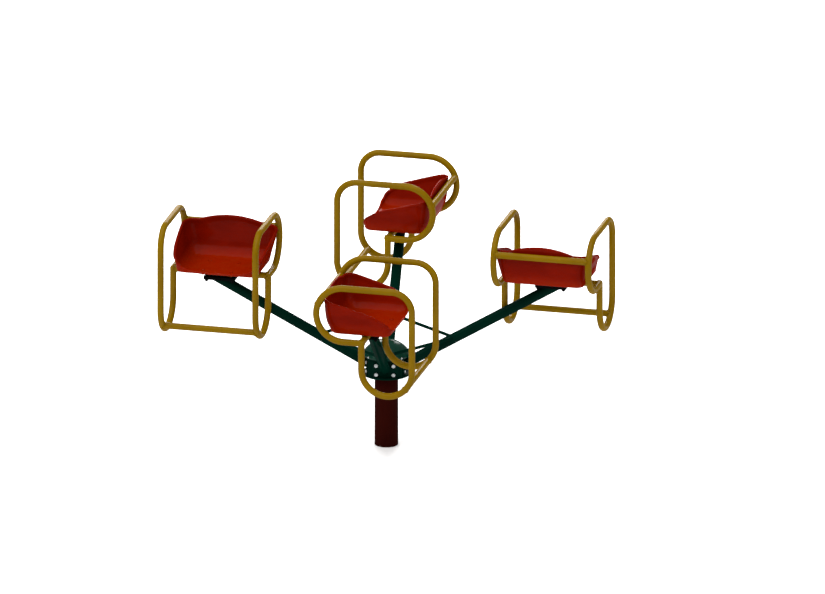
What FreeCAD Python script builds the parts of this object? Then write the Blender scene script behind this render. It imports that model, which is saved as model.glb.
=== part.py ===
"""Four-seat playground merry-go-round, drawn in millimetres.

+Z is up, and the origin is the centre of the post's lower end, on the spin axis.
A steel post carries a spindle and two ball bearings. The hub turns on them and
carries four arms that rise outwards, braced by tie rods. Each arm ends under a
moulded bucket seat that stands between two bent tube side loops. The seats face
along the way of travel, and the four stations are equal, a quarter turn apart.
In a station's own frame +X points outwards and +Y is the way the rider faces.
"""
import FreeCAD
import Part
import math
import os

Vec = FreeCAD.Vector

# ---- the station layout
STATIONS = 4
SEAT_RADIUS = 805.5         # spin axis to the middle of a seat
SEAT_BEARING = 10.5         # degrees round the spin axis, from a station's X axis to its seat's middle

# ---- gaps
WELD_GAP = 0.2              # between curved faces that are welded together
PRESS_GAP = 0.05            # radial, between a pressed ring and its seat
RUNNING_GAP = 0.4           # radial, between the seal and the turning face

# ---- post and spindle
POST_R = 57.0
POST_WALL = 4.0
POST_TOP = 346.0            # the tube's upper end, under the cap plate
POST_CAP_THICK = 12.0
HUB_GAP = 3.0               # cap plate to hub
SPINDLE_R = 25.0
SHOULDER_R = 30.0
THREAD_R = 18.0
SPINDLE_TAIL = 5.0          # thread left above the nut
SPINDLE_NUT_AF = 55.0
SPINDLE_NUT_H = 18.0
SPINDLE_WASHER_R = 33.0
SPINDLE_WASHER_H = 5.0

# ---- ball bearings
BEARING_R = 45.0
BEARING_WIDTH = 20.0
BALL_R = 6.35
BALLS = 10
RACE_GAP = 0.1              # between a ball and its groove
RING_GAP_HALF = 3.0         # half of the open gap between the two rings
CAGE_THICK = 2.0
CAGE_GAP = 0.2              # between a ball and its hole in the cage
CAGE_INSET = 2.0            # below the rings' faces

# ---- hub
DISC_R = 118.0
DISC_THICK = 6.0
HOUSING_WALL = 7.0
HOUSING_LIP = 5.0           # the ledge under the lower bearing
BOX_HALF = 82.0             # half of the square box's outside width
BOX_WALL = 8.0
BOX_HEIGHT = 89.0
TOP_PLATE_R = 112.0
TOP_PLATE_THICK = 5.0
RIM_THICK = 6.0
RIM_HEIGHT = 6.0
DOME_THICK = 2.0
DOME_LAP = 4.0              # how far the skirt laps down over the top plate
DOME_RISE = 64.0            # the crown above the skirt
DOME_SCREW_R = 2.5
DOME_SCREW_HEAD_R = 5.0
DOME_SCREW_HEAD_H = 2.6

# ---- arms
ARM_R = 25.0
ARM_WALL = 3.0
ARM_ROOT_Z = 412.3          # the arm's axis where it leaves the root flange
ARM_LOOP_GAP = 1.0          # between an arm and the leg of the inner side loop that it passes
ARM_HEAD_OUT = 4.5          # the arm's axis meets the head plate this far past the seat's middle
FLANGE_THICK = 8.0
FLANGE_WIDTH = 130.0
FLANGE_BOLT_SIDE = 42.0     # half of the spacing across
FLANGE_BOLT_UP = 23.0       # half of the spacing up
FLANGE_BOLT_Z = 404.0       # the middle of the bolt pattern
HEAD_PLATE_WIDTH = 80.0
HEAD_PLATE_THICK = 8.0
HEAD_BOLT_ROOM = 13.5       # from the arm's end to a head bolt's axis, and on to the plate's end
HEAD_BOLT_SIDE = 28.0       # half of the spacing across the plate
TIE_R = 8.0
TIE_RADIUS = 332.0          # spin axis to where a tie rod's axis meets an arm's axis

# ---- side loops and the bars between them
LOOP_R = 16.0               # tube
LOOP_WALL = 2.5
LOOP_SPACING = 472.5        # between the two loops' centre planes
LOOP_DEPTH = 477.0          # front to back, between centrelines
LOOP_TOP = 1126.5           # the top rail's centreline
LOOP_BOTTOM = 595.0         # the foot lobe's lowest centreline
FOOT_LOBE_R = 126.0         # centreline radius under the foot lobe
BACK_LOBE_R = 136.0         # centreline radius behind the seat
LOOP_CORNER_R = 100.0       # centreline radius at the front top corner
FOOT_BAR_ANGLE = 44.0       # degrees below level, on the foot lobe
BACK_BAR_ANGLE = 19.0       # degrees above level, on the back lobe

# ---- seat
STRAP_WIDTH = 30.0
STRAP_THICK = 6.0
STRAP_OUT = 70.0            # half of the straps' spacing
STRAP_FRONT = 90.0
STRAP_BACK = 110.0
SEAT_WALL = 6.0
SEAT_BOLT_FRONT = 60.0
SEAT_BOLT_BACK = 85.0
SHELL_SHIFT = 8.0           # the shell's middle is this far inwards of the side loops' middle
SEAT_SECTIONS = (           # height over the straps, back, front, half width, corner radius
    (0.0, 164.0, 102.0, 188.0, 30.0),
    (14.0, 184.0, 116.0, 203.0, 38.0),
    (60.0, 204.0, 123.0, 212.0, 44.0),
    (140.0, 211.0, 128.0, 234.0, 54.0),
    (225.0, 213.0, 133.0, 246.0, 66.0),
)
WING_TOP = ((150.0, 22.0), (124.0, 47.0), (84.0, 82.0), (30.0, 112.0), (-40.0, 134.0),
            (-120.0, 157.0), (-190.0, 174.0), (-260.0, 180.0))   # front, height over the straps
BACK_EDGE = 178.0           # the back's height over the straps at its ends
BACK_CREST = 206.0          # and in its middle
BACK_ZONE = 150.0           # the crest is behind this line
CREST_HALF = 158.0
LIP_EDGE = 47.0             # the front lip's height over the straps at its ends
LIP_DIP = 13.0              # and in its middle
LIP_ZONE = 70.0             # the dip is in front of this line
DIP_HALF = 190.0

# ---- fasteners: thread radius, head width across flats, head height, washer radius and thickness
M12 = (6.0, 18.0, 7.5, 12.0, 2.5)
M10 = (5.0, 16.0, 6.4, 10.0, 2.0)
NUT_TAIL = 3.0              # thread showing past a nut
HOLE_GAP = 0.5              # radial, around a bolt
THREAD_GAP = 0.1            # radial, in a nut
SEAT_BOLT_HEAD_R = 10.0
SEAT_BOLT_HEAD_H = 5.0

# ---- heights and places that follow
POST_CAP_TOP = POST_TOP + POST_CAP_THICK
DISC_Z = POST_CAP_TOP + HUB_GAP
BOX_Z = DISC_Z + DISC_THICK
BOX_TOP = BOX_Z + BOX_HEIGHT
TOP_PLATE_TOP = BOX_TOP + TOP_PLATE_THICK
SHOULDER_TOP = BOX_Z + HOUSING_LIP
LOWER_BEARING_Z = SHOULDER_TOP
UPPER_BEARING_Z = BOX_TOP - BEARING_WIDTH
NUT_Z = BOX_TOP + SPINDLE_WASHER_H
SPINDLE_TOP = NUT_Z + SPINDLE_NUT_H + SPINDLE_TAIL
HOUSING_R = BEARING_R + HOUSING_WALL
SEAL_R = SHOULDER_R + RUNNING_GAP
DISC_BORE_R = BEARING_R + 2.0
SKIRT_R = TOP_PLATE_R + WELD_GAP
SKIRT_TOP = TOP_PLATE_TOP + RIM_HEIGHT
FLANGE_X = BOX_HALF
FLANGE_OUT = FLANGE_X + FLANGE_THICK
FOOT_U = LOOP_DEPTH / 2 - FOOT_LOBE_R                 # the foot lobe's centre, in front of the seat's middle
FOOT_V = LOOP_BOTTOM + FOOT_LOBE_R
CORNER_U = FOOT_U - FOOT_LOBE_R                       # the mitred corner under the seat
CORNER_V = LOOP_TOP - 2 * BACK_LOBE_R
BACK_U = -(LOOP_DEPTH / 2 - BACK_LOBE_R)
BACK_V = LOOP_TOP - BACK_LOBE_R
SEAT_PLATE_TOP = CORNER_V - LOOP_R
SEAT_PLATE_Z = SEAT_PLATE_TOP - HEAD_PLATE_THICK
HEAD_PLATE_Z = SEAT_PLATE_Z - HEAD_PLATE_THICK
STRAP_Z = CORNER_V + LOOP_R
SEAT_Z = STRAP_Z + STRAP_THICK
SEAT_X = SEAT_RADIUS * math.cos(math.radians(SEAT_BEARING))
SEAT_Y = SEAT_RADIUS * math.sin(math.radians(SEAT_BEARING))
LEG_X = SEAT_X - LOOP_SPACING / 2                     # the inner loop's leg, which the arm passes
LEG_Y = SEAT_Y + CORNER_U
SHELL_X = SEAT_X - SHELL_SHIFT
LEG_PASS = math.asin((ARM_R + LOOP_R + ARM_LOOP_GAP) / math.hypot(LEG_X, LEG_Y))
ARM_YAW = math.degrees(math.atan2(LEG_Y, LEG_X) - LEG_PASS)   # from a station's X axis to its arm
ARM_ROOT = Vec(FLANGE_OUT, 0, ARM_ROOT_Z)
ARM_HEAD = Vec(SEAT_RADIUS + ARM_HEAD_OUT, 0, HEAD_PLATE_Z)
ARM_LINE = ARM_HEAD - ARM_ROOT
ARM_FOOT = ARM_R * ARM_LINE.Length / ARM_LINE.z       # half of the arm's slanted end, under the head plate
HEAD_BOLT_OUT = ARM_FOOT + HEAD_BOLT_ROOM             # half of the head bolts' spacing along the plate
HEAD_PLATE_LENGTH = 2 * (HEAD_BOLT_OUT + HEAD_BOLT_ROOM)
X, Y, Z = Vec(1, 0, 0), Vec(0, 1, 0), Vec(0, 0, 1)
AXIS = Vec(0, 0, 0)


# ---------------------------------------------------------------- helpers
def save(name, *shapes):
    """Writes one node's solids to parts/NAME.step."""
    solids = [solid for shape in shapes for solid in shape.Solids]
    Part.makeCompound(solids).exportStep(os.path.join("parts", name + ".step"))
    volume = sum(solid.Volume for solid in solids)
    print(f"{name}: {len(solids)} solids, {volume / 1000:.1f} cm3, valid {all(s.isValid() for s in solids)}")


def turned(shape, degrees):
    """A copy of a shape, turned about the spin axis."""
    copy = shape.copy()
    copy.rotate(AXIS, Z, degrees)
    return copy


def rod(radius, start, end):
    """A round bar between two points."""
    line = end - start
    return Part.makeCylinder(radius, line.Length, start, line)


def disc(radius, z, thick, bore=0.0):
    """A level disc or ring on the spin axis, from z upwards."""
    shape = Part.makeCylinder(radius, thick, Vec(0, 0, z))
    return shape.cut(Part.makeCylinder(bore, thick, Vec(0, 0, z))) if bore else shape


def block(x0, x1, y0, y1, z0, z1):
    """A box between two corners."""
    return Part.makeBox(x1 - x0, y1 - y0, z1 - z0, Vec(x0, y0, z0))


def hexagon(across, height, start, axis):
    """A six-sided bar, its flats across mm apart, from start along axis."""
    reach = across / math.sqrt(3)
    points = [Vec(reach * math.cos(math.radians(60 * i)), reach * math.sin(math.radians(60 * i)), 0)
              for i in range(7)]
    bar = Part.Face(Part.makePolygon(points)).extrude(Vec(0, 0, height))
    bar.Placement = FreeCAD.Placement(start, FreeCAD.Rotation(Z, axis))
    return bar


def bolt(size, under_head, axis, grip):
    """A bolt with its head's underside at a point; axis runs from the head to the thread's end."""
    radius, across, head, _, washer = size
    length = grip + washer + head + NUT_TAIL
    shank = Part.makeCylinder(radius, length, under_head, axis)
    return shank.fuse(hexagon(across, head, under_head, axis * -1)).removeSplitter()


def nut(size, seat, axis):
    """A washer and a nut on a bolt, from the face they bear on, along axis."""
    radius, across, head, washer_r, washer = size
    hole = Part.makeCylinder(radius + THREAD_GAP, head + washer, seat, axis)
    ring = Part.makeCylinder(washer_r, washer, seat, axis).cut(hole)
    body = hexagon(across, head, seat + axis * washer, axis).cut(hole)
    return ring, body


# ---------------------------------------------------------------- post, spindle and bearings
def make_post():
    tube = disc(POST_R, 0, POST_TOP, POST_R - POST_WALL)
    save("post_tube", tube)
    save("post_cap_plate", disc(POST_R, POST_TOP, POST_CAP_THICK, SHOULDER_R + PRESS_GAP))


def make_spindle():
    shaft = disc(SHOULDER_R, POST_TOP, SHOULDER_TOP - POST_TOP)
    shaft = shaft.fuse(disc(SPINDLE_R, SHOULDER_TOP, BOX_TOP - SHOULDER_TOP))
    shaft = shaft.fuse(disc(THREAD_R, BOX_TOP, SPINDLE_TOP - BOX_TOP))
    save("spindle", shaft.removeSplitter())
    bore = THREAD_R + THREAD_GAP
    save("spindle_washer", disc(SPINDLE_WASHER_R, BOX_TOP, SPINDLE_WASHER_H, bore))
    nut_blank = hexagon(SPINDLE_NUT_AF, SPINDLE_NUT_H, Vec(0, 0, NUT_Z), Z)
    save("spindle_nut", nut_blank.cut(disc(bore, NUT_Z, SPINDLE_NUT_H)))
    spacer_z = LOWER_BEARING_Z + BEARING_WIDTH
    save("bearing_spacer", disc(SHOULDER_R, spacer_z, UPPER_BEARING_Z - spacer_z, SPINDLE_R + PRESS_GAP))


def make_bearing(name, z):
    """Two grooved rings, and a set of balls in a cage between them, from z upwards."""
    pitch_r = (BEARING_R + SPINDLE_R) / 2
    middle = z + BEARING_WIDTH / 2
    groove = Part.makeTorus(pitch_r, BALL_R + RACE_GAP, Vec(0, 0, middle))
    inner = disc(pitch_r - RING_GAP_HALF, z, BEARING_WIDTH, SPINDLE_R + PRESS_GAP).cut(groove)
    outer = disc(BEARING_R - PRESS_GAP, z, BEARING_WIDTH, pitch_r + RING_GAP_HALF).cut(groove)
    save(name + "_inner_ring", inner)
    save(name + "_outer_ring", outer)
    spins = [360 * i / BALLS for i in range(BALLS)]
    ball = Part.makeSphere(BALL_R, Vec(pitch_r, 0, middle))
    save(name + "_balls", *[turned(ball, spin) for spin in spins])
    cage_r = pitch_r + CAGE_THICK / 2
    cage = disc(cage_r, z + CAGE_INSET, BEARING_WIDTH - 2 * CAGE_INSET, cage_r - CAGE_THICK)
    pocket = Part.makeCylinder(BALL_R + CAGE_GAP, 2 * BALL_R, Vec(pitch_r - BALL_R, 0, middle), X)
    save(name + "_cage", cage.cut(Part.makeCompound([turned(pocket, spin) for spin in spins])))


# ---------------------------------------------------------------- hub
def flange_bolt_points():
    """Where a root flange's bolts cross the hub box's face, in the arm's own frame."""
    return [Vec(FLANGE_X, side * FLANGE_BOLT_SIDE, FLANGE_BOLT_Z + up * FLANGE_BOLT_UP)
            for side in (-1, 1) for up in (-1, 1)]


def make_hub():
    save("hub_lower_disc", disc(DISC_R, DISC_Z, DISC_THICK, DISC_BORE_R))
    save("dust_seal", disc(DISC_BORE_R - PRESS_GAP, DISC_Z, DISC_THICK, SEAL_R))
    housing = disc(HOUSING_R, BOX_Z, BOX_HEIGHT, BEARING_R)
    lip = disc(HOUSING_R, BOX_Z, HOUSING_LIP, BEARING_R - HOUSING_LIP)
    save("bearing_housing", housing.fuse(lip).removeSplitter())

    inside = BOX_HALF - BOX_WALL
    box = block(-BOX_HALF, BOX_HALF, -BOX_HALF, BOX_HALF, BOX_Z, BOX_TOP)
    box = box.cut(block(-inside, inside, -inside, inside, BOX_Z, BOX_TOP))
    hole_r = M12[0] + HOLE_GAP
    holes = [Part.makeCylinder(hole_r, BOX_WALL + 2, p - X * (BOX_WALL + 1), X) for p in flange_bolt_points()]
    holes = [turned(hole, 90 * k) for hole in holes for k in range(4)]
    save("hub_box", turned(box.cut(Part.makeCompound(holes)), ARM_YAW))

    rim = disc(TOP_PLATE_R, TOP_PLATE_TOP, RIM_HEIGHT, TOP_PLATE_R - RIM_THICK)
    screw_z = TOP_PLATE_TOP + RIM_HEIGHT / 2
    tap = Part.makeCylinder(DOME_SCREW_R + THREAD_GAP, DOME_RISE, Vec(TOP_PLATE_R - DOME_RISE / 2, 0, screw_z), X)
    taps = [turned(tap, ARM_YAW + 45 + 90 * k) for k in range(STATIONS)]
    top_plate = disc(TOP_PLATE_R, BOX_TOP, TOP_PLATE_THICK, BEARING_R - 1.0)
    save("hub_top_plate", top_plate, rim.cut(Part.makeCompound(taps)))

    skirt_out = SKIRT_R + DOME_THICK
    skirt_z = TOP_PLATE_TOP - DOME_LAP
    skirt = disc(skirt_out, skirt_z, SKIRT_TOP - skirt_z, SKIRT_R)
    crown_r = (skirt_out ** 2 + DOME_RISE ** 2) / (2 * DOME_RISE)
    centre = Vec(0, 0, SKIRT_TOP + DOME_RISE - crown_r)
    crown = Part.makeSphere(crown_r, centre).cut(Part.makeSphere(crown_r - DOME_THICK, centre))
    crown = crown.common(disc(skirt_out, SKIRT_TOP, DOME_RISE))
    save("dome_cover", skirt.fuse(crown).removeSplitter().cut(Part.makeCompound(taps)))

    head = Part.makeCylinder(DOME_SCREW_HEAD_R, DOME_SCREW_HEAD_H, Vec(skirt_out, 0, screw_z), X)
    head = head.makeFillet(DOME_SCREW_HEAD_H * 0.6, [head.Edges[0]])
    shank = rod(DOME_SCREW_R, Vec(TOP_PLATE_R - RIM_THICK, 0, screw_z), Vec(skirt_out, 0, screw_z))
    screw = head.fuse(shank).removeSplitter()
    save("dome_screws", *[turned(screw, ARM_YAW + 45 + 90 * k) for k in range(STATIONS)])


# ---------------------------------------------------------------- arms
def arm_body(radius, extra=0.0):
    """The arm's round bar between its root flange and head plate, in the arm's own frame."""
    step = Vec(ARM_LINE).normalize()
    bar = rod(radius, ARM_ROOT - step * 3 * ARM_R, ARM_HEAD + step * 3 * ARM_R)
    reach = 2 * SEAT_RADIUS
    room = block(FLANGE_OUT - extra, reach, -reach, reach, 0, HEAD_PLATE_Z + extra)
    return bar.common(room)


def head_bolt_points():
    """Where the head bolts cross the face between the head plate and the seat plate, in the station's frame."""
    return [Vec(SEAT_X + out * HEAD_BOLT_OUT, SEAT_Y + CORNER_U + side * HEAD_BOLT_SIDE, SEAT_PLATE_Z)
            for out in (-1, 1) for side in (-1, 1)]


def head_plate(z):
    """One of the two bolted plates under a seat, with its four holes, in the station's frame."""
    half_l, half_w = HEAD_PLATE_LENGTH / 2, HEAD_PLATE_WIDTH / 2
    middle = SEAT_Y + CORNER_U
    plate = block(SEAT_X - half_l, SEAT_X + half_l, middle - half_w, middle + half_w, z, z + HEAD_PLATE_THICK)
    holes = [Part.makeCylinder(M10[0] + HOLE_GAP, HEAD_PLATE_THICK, Vec(p.x, p.y, z)) for p in head_bolt_points()]
    return plate.cut(Part.makeCompound(holes))


def make_arms():
    tube = arm_body(ARM_R).cut(arm_body(ARM_R - ARM_WALL, 1.0))
    half = FLANGE_WIDTH / 2
    flange = block(FLANGE_X, FLANGE_OUT, -half, half, BOX_Z + 1.0, BOX_TOP - 1.0)
    hole_r = M12[0] + HOLE_GAP
    holes = [Part.makeCylinder(hole_r, FLANGE_THICK, p, X) for p in flange_bolt_points()]
    flange = flange.cut(Part.makeCompound(holes))
    flange_bolts = [bolt(M12, p + X * FLANGE_THICK, X * -1, FLANGE_THICK + BOX_WALL) for p in flange_bolt_points()]
    flange_nuts = [piece for p in flange_bolt_points() for piece in nut(M12, p - X * BOX_WALL, X * -1)]

    plates, bolts, nuts = [], [], []
    for k in range(STATIONS):
        spin = 360 * k / STATIONS
        save(f"arm_{k + 1}", turned(tube, spin + ARM_YAW), turned(flange, spin + ARM_YAW))
        plates += [turned(head_plate(z), spin) for z in (HEAD_PLATE_Z, SEAT_PLATE_Z)]
        bolts += [turned(piece, spin + ARM_YAW) for piece in flange_bolts]
        nuts += [turned(piece, spin + ARM_YAW) for piece in flange_nuts]
    save("mount_plates", *plates)
    save("arm_flange_bolts", *bolts)
    save("arm_flange_nuts", *nuts)


def make_tie_rods():
    rise = ARM_LINE.z / ARM_LINE.x
    z = ARM_ROOT_Z + (TIE_RADIUS - FLANGE_OUT) * rise
    this_arm = arm_body(ARM_R + WELD_GAP)
    next_arm = turned(this_arm, 360 / STATIONS)
    start = Vec(TIE_RADIUS, 0, z)
    end = turned(Part.Vertex(start), 360 / STATIONS).Point
    tie = rod(TIE_R, start, end).cut(this_arm).cut(next_arm)
    for k in range(STATIONS):
        save(f"tie_rod_{k + 1}", turned(tie, ARM_YAW + 360 * k / STATIONS))


# ---------------------------------------------------------------- side loops and bars
def bent(radius, x, centre_u, centre_v, bend_r, start, sweep):
    """A bent stretch of round bar in the loop's plane; start and sweep are degrees from the forward axis."""
    angle = math.radians(start)
    centre = Vec(x, SEAT_Y + centre_u, centre_v)
    out = Vec(0, math.cos(angle), math.sin(angle))
    along = X.cross(out)
    circle = Part.Face(Part.Wire(Part.makeCircle(radius, centre + out * bend_r, along)))
    return circle.revolve(centre, X, sweep)


def straight(radius, x, u0, v0, u1, v1):
    """A straight stretch of round bar in the loop's plane."""
    return rod(radius, Vec(x, SEAT_Y + u0, v0), Vec(x, SEAT_Y + u1, v1))


def mitred_corner(radius, x):
    """The two stretches that meet at the square corner under the seat, cut at 45 degrees and joined."""
    corner = Vec(x, SEAT_Y + CORNER_U, CORNER_V)
    reach = 4 * LOOP_R
    post = straight(radius, x, CORNER_U, FOOT_V, CORNER_U, CORNER_V + reach / 2)
    bar = straight(radius, x, CORNER_U + reach / 2, CORNER_V, BACK_U, CORNER_V)
    wedge = Part.makeBox(2 * reach, 2 * reach, LOOP_TOP, Vec(-reach, -reach, 0))
    above, below = wedge.copy(), wedge.copy()
    above.Placement = FreeCAD.Placement(corner, FreeCAD.Rotation(X, 45))
    below.Placement = FreeCAD.Placement(corner, FreeCAD.Rotation(X, 225))
    return post.cut(above), bar.cut(below)


def loop_body(radius, x):
    """A side loop as one closed bent bar of a given radius, in the station's frame."""
    front = LOOP_DEPTH / 2
    pieces = [
        straight(radius, x, BACK_U, LOOP_TOP, front - LOOP_CORNER_R, LOOP_TOP),
        bent(radius, x, front - LOOP_CORNER_R, LOOP_TOP - LOOP_CORNER_R, LOOP_CORNER_R, 0, 90),
        straight(radius, x, front, LOOP_TOP - LOOP_CORNER_R, front, FOOT_V),
        bent(radius, x, FOOT_U, FOOT_V, FOOT_LOBE_R, 180, 180),
        bent(radius, x, BACK_U, BACK_V, BACK_LOBE_R, 90, 180),
        *mitred_corner(radius, x),
    ]
    skin = [face for piece in pieces for face in piece.Faces if not isinstance(face.Surface, Part.Plane)]
    shell = Part.Shell(skin)
    shell.sewShape()
    return Part.Solid(shell.Shells[0])


def make_side_frames():
    half = LOOP_SPACING / 2
    loops = {"inner": SEAT_X - half, "outer": SEAT_X + half}
    seats = Part.makeCompound([loop_body(LOOP_R + WELD_GAP, x) for x in loops.values()])
    tubes = {side: loop_body(LOOP_R, x).cut(loop_body(LOOP_R - LOOP_WALL, x)) for side, x in loops.items()}
    foot, back = math.radians(FOOT_BAR_ANGLE), math.radians(BACK_BAR_ANGLE)
    places = {
        "foot_bar": (FOOT_U + FOOT_LOBE_R * math.cos(foot), FOOT_V - FOOT_LOBE_R * math.sin(foot)),
        "back_bar": (BACK_U - BACK_LOBE_R * math.cos(back), BACK_V + BACK_LOBE_R * math.sin(back)),
        "cross_tube": (CORNER_U, CORNER_V),
    }
    bars = {}
    for name, (u, v) in places.items():
        ends = [Vec(x, SEAT_Y + u, v) for x in loops.values()]
        bar = rod(LOOP_R, *ends).cut(seats)
        bars[name] = bar.cut(rod(LOOP_R - LOOP_WALL, *ends))

    for k in range(STATIONS):
        spin = 360 * k / STATIONS
        for side, tube in tubes.items():
            save(f"side_loop_{side}_{k + 1}", turned(tube, spin))
        save(f"foot_bar_{k + 1}", turned(bars["foot_bar"], spin))
        save(f"back_bar_{k + 1}", turned(bars["back_bar"], spin))
        save(f"seat_frame_{k + 1}", *[turned(piece, spin) for piece in (bars["cross_tube"], *seat_straps())])


# ---------------------------------------------------------------- seats
def seat_bolt_points():
    """Where the seat bolts cross the straps' upper face, in the station's frame."""
    return [Vec(SEAT_X + out * STRAP_OUT, SEAT_Y + along, SEAT_Z)
            for out in (-1, 1) for along in (SEAT_BOLT_FRONT, -SEAT_BOLT_BACK)]


def seat_straps():
    """Two flat straps across the top of the cross tube, with the seat bolts' holes."""
    holes = [Part.makeCylinder(M10[0] + HOLE_GAP, STRAP_THICK, Vec(p.x, p.y, STRAP_Z)) for p in seat_bolt_points()]
    straps = []
    for out in (-1, 1):
        x = SEAT_X + out * STRAP_OUT
        strap = block(x - STRAP_WIDTH / 2, x + STRAP_WIDTH / 2, SEAT_Y - STRAP_BACK, SEAT_Y + STRAP_FRONT,
                      STRAP_Z, SEAT_Z)
        straps.append(strap.cut(Part.makeCompound(holes)))
    return straps


def seat_outline(height, back, front, half, corner):
    """A level rounded rectangle around the seat at a height over the straps."""
    x0, x1 = SHELL_X - half, SHELL_X + half
    y0, y1 = SEAT_Y - back, SEAT_Y + front
    z, c = SEAT_Z + height, corner
    edges = []
    corners = ((x1 - c, y1 - c, 0), (x0 + c, y1 - c, 90), (x0 + c, y0 + c, 180), (x1 - c, y0 + c, 270))
    for i, (cx, cy, start) in enumerate(corners):
        arc = Part.makeCircle(c, Vec(cx, cy, z), Z, start, start + 90)
        following = corners[(i + 1) % 4]
        turn = math.radians(start + 90)
        here = Vec(cx + c * math.cos(turn), cy + c * math.sin(turn), z)
        there = Vec(following[0] + c * math.cos(turn), following[1] + c * math.sin(turn), z)
        edges += [arc, Part.LineSegment(here, there).toShape()]
    return Part.Wire(edges)


def seat_tub(wall):
    """The seat's outside, or with a wall its inside, as one lofted block before its rim is cut."""
    outlines = [seat_outline(max(height, wall), back - wall, front - wall, half - wall, corner - wall)
                for height, back, front, half, corner in SEAT_SECTIONS]
    return Part.makeLoft(outlines, True)


def curtain(points, span, axis):
    """A solid wall over a curve: the space above it, up to well over the seat, swept along axis."""
    curve = Part.BSplineCurve()
    curve.interpolate(points)
    ceiling = SEAT_Z + 2 * SEAT_SECTIONS[-1][0]
    first, last = points[0], points[-1]
    top = Part.makePolygon([last, Vec(last.x, last.y, ceiling), Vec(first.x, first.y, ceiling), first])
    return Part.Face(Part.Wire([curve.toShape(), *top.Edges])).extrude(axis * span)


def crest_points(y, half, edge, middle, power):
    """A rise or dip across the seat; the higher its power, the flatter its middle."""
    steps = 12
    points = []
    for i in range(steps + 1):
        across = 2 * i / steps - 1
        share = 1 - abs(across) ** power
        points.append(Vec(SHELL_X + across * half, y, SEAT_Z + edge + (middle - edge) * share))
    return points


def make_seats():
    rim_x = SEAT_X - LOOP_SPACING
    wing = [Vec(rim_x, SEAT_Y + u, SEAT_Z + height) for u, height in WING_TOP]
    over_wings = curtain(wing, 2 * LOOP_SPACING, X)
    far_back = SEAT_Y - 2 * SEAT_SECTIONS[-1][1]
    crest_depth = SEAT_Y - BACK_ZONE - far_back
    over_crest = curtain(crest_points(far_back, CREST_HALF, BACK_EDGE, BACK_CREST, 2), crest_depth, Y)
    crest_room = block(SHELL_X - CREST_HALF, SHELL_X + CREST_HALF, far_back, SEAT_Y - BACK_ZONE,
                       SEAT_Z, SEAT_Z + 2 * SEAT_SECTIONS[-1][0]).cut(over_crest)
    lip_depth = SEAT_SECTIONS[-1][2]
    over_dip = curtain(crest_points(SEAT_Y + LIP_ZONE, DIP_HALF, LIP_EDGE, LIP_DIP, 4), lip_depth, Y)

    shell = seat_tub(0.0).cut(seat_tub(SEAT_WALL)).cut(over_wings.cut(crest_room)).cut(over_dip)
    holes = [Part.makeCylinder(M10[0] + HOLE_GAP, 3 * SEAT_WALL, p - Z * SEAT_WALL) for p in seat_bolt_points()]
    shell = shell.cut(Part.makeCompound(holes))
    shell = max(shell.Solids, key=lambda solid: solid.Volume)

    grip = SEAT_WALL + STRAP_THICK
    seat_bolts, seat_nuts, head_bolts, head_nuts = [], [], [], []
    for p in seat_bolt_points():
        inside = p + Z * SEAT_WALL
        head = Part.makeCylinder(SEAT_BOLT_HEAD_R, SEAT_BOLT_HEAD_H, inside)
        head = head.makeFillet(SEAT_BOLT_HEAD_H * 0.7, [head.Edges[0]])
        length = grip + M10[4] + M10[2] + NUT_TAIL
        seat_bolts.append(head.fuse(Part.makeCylinder(M10[0], length, inside, Z * -1)).removeSplitter())
        seat_nuts += nut(M10, p - Z * STRAP_THICK, Z * -1)
    for p in head_bolt_points():
        head_bolts.append(bolt(M10, p + Z * HEAD_PLATE_THICK, Z * -1, 2 * HEAD_PLATE_THICK))
        head_nuts += nut(M10, p - Z * HEAD_PLATE_THICK, Z * -1)

    groups = {"seat_bolts": seat_bolts, "seat_nuts": seat_nuts,
              "arm_head_bolts": head_bolts, "arm_head_nuts": head_nuts}
    spins = [360 * k / STATIONS for k in range(STATIONS)]
    for k, spin in enumerate(spins):
        save(f"seat_shell_{k + 1}", turned(shell, spin))
    for name, pieces in groups.items():
        save(name, *[turned(piece, spin) for spin in spins for piece in pieces])


os.makedirs("parts", exist_ok=True)
make_post()
make_spindle()
make_bearing("lower_bearing", LOWER_BEARING_Z)
make_bearing("upper_bearing", UPPER_BEARING_Z)
make_hub()
make_arms()
make_tie_rods()
make_side_frames()
make_seats()
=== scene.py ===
"""The looks of a four-seat playground merry-go-round.

Enamelled tubes, moulded bucket seats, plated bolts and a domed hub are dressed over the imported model, which
is loaded as a fixed frame. Lengths are in metres and angles in degrees unless a name says otherwise. Places
are read from the frame's nodes. In a station's own frame +X points outwards from the spin axis and +Y is the
way its rider faces; the four stations are a quarter turn apart.
"""
from __future__ import annotations

import logging
import math
import random
from dataclasses import dataclass
from enum import Enum
from typing import Callable, Sequence

import bmesh
import bpy
from mathutils import Matrix, Vector

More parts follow.
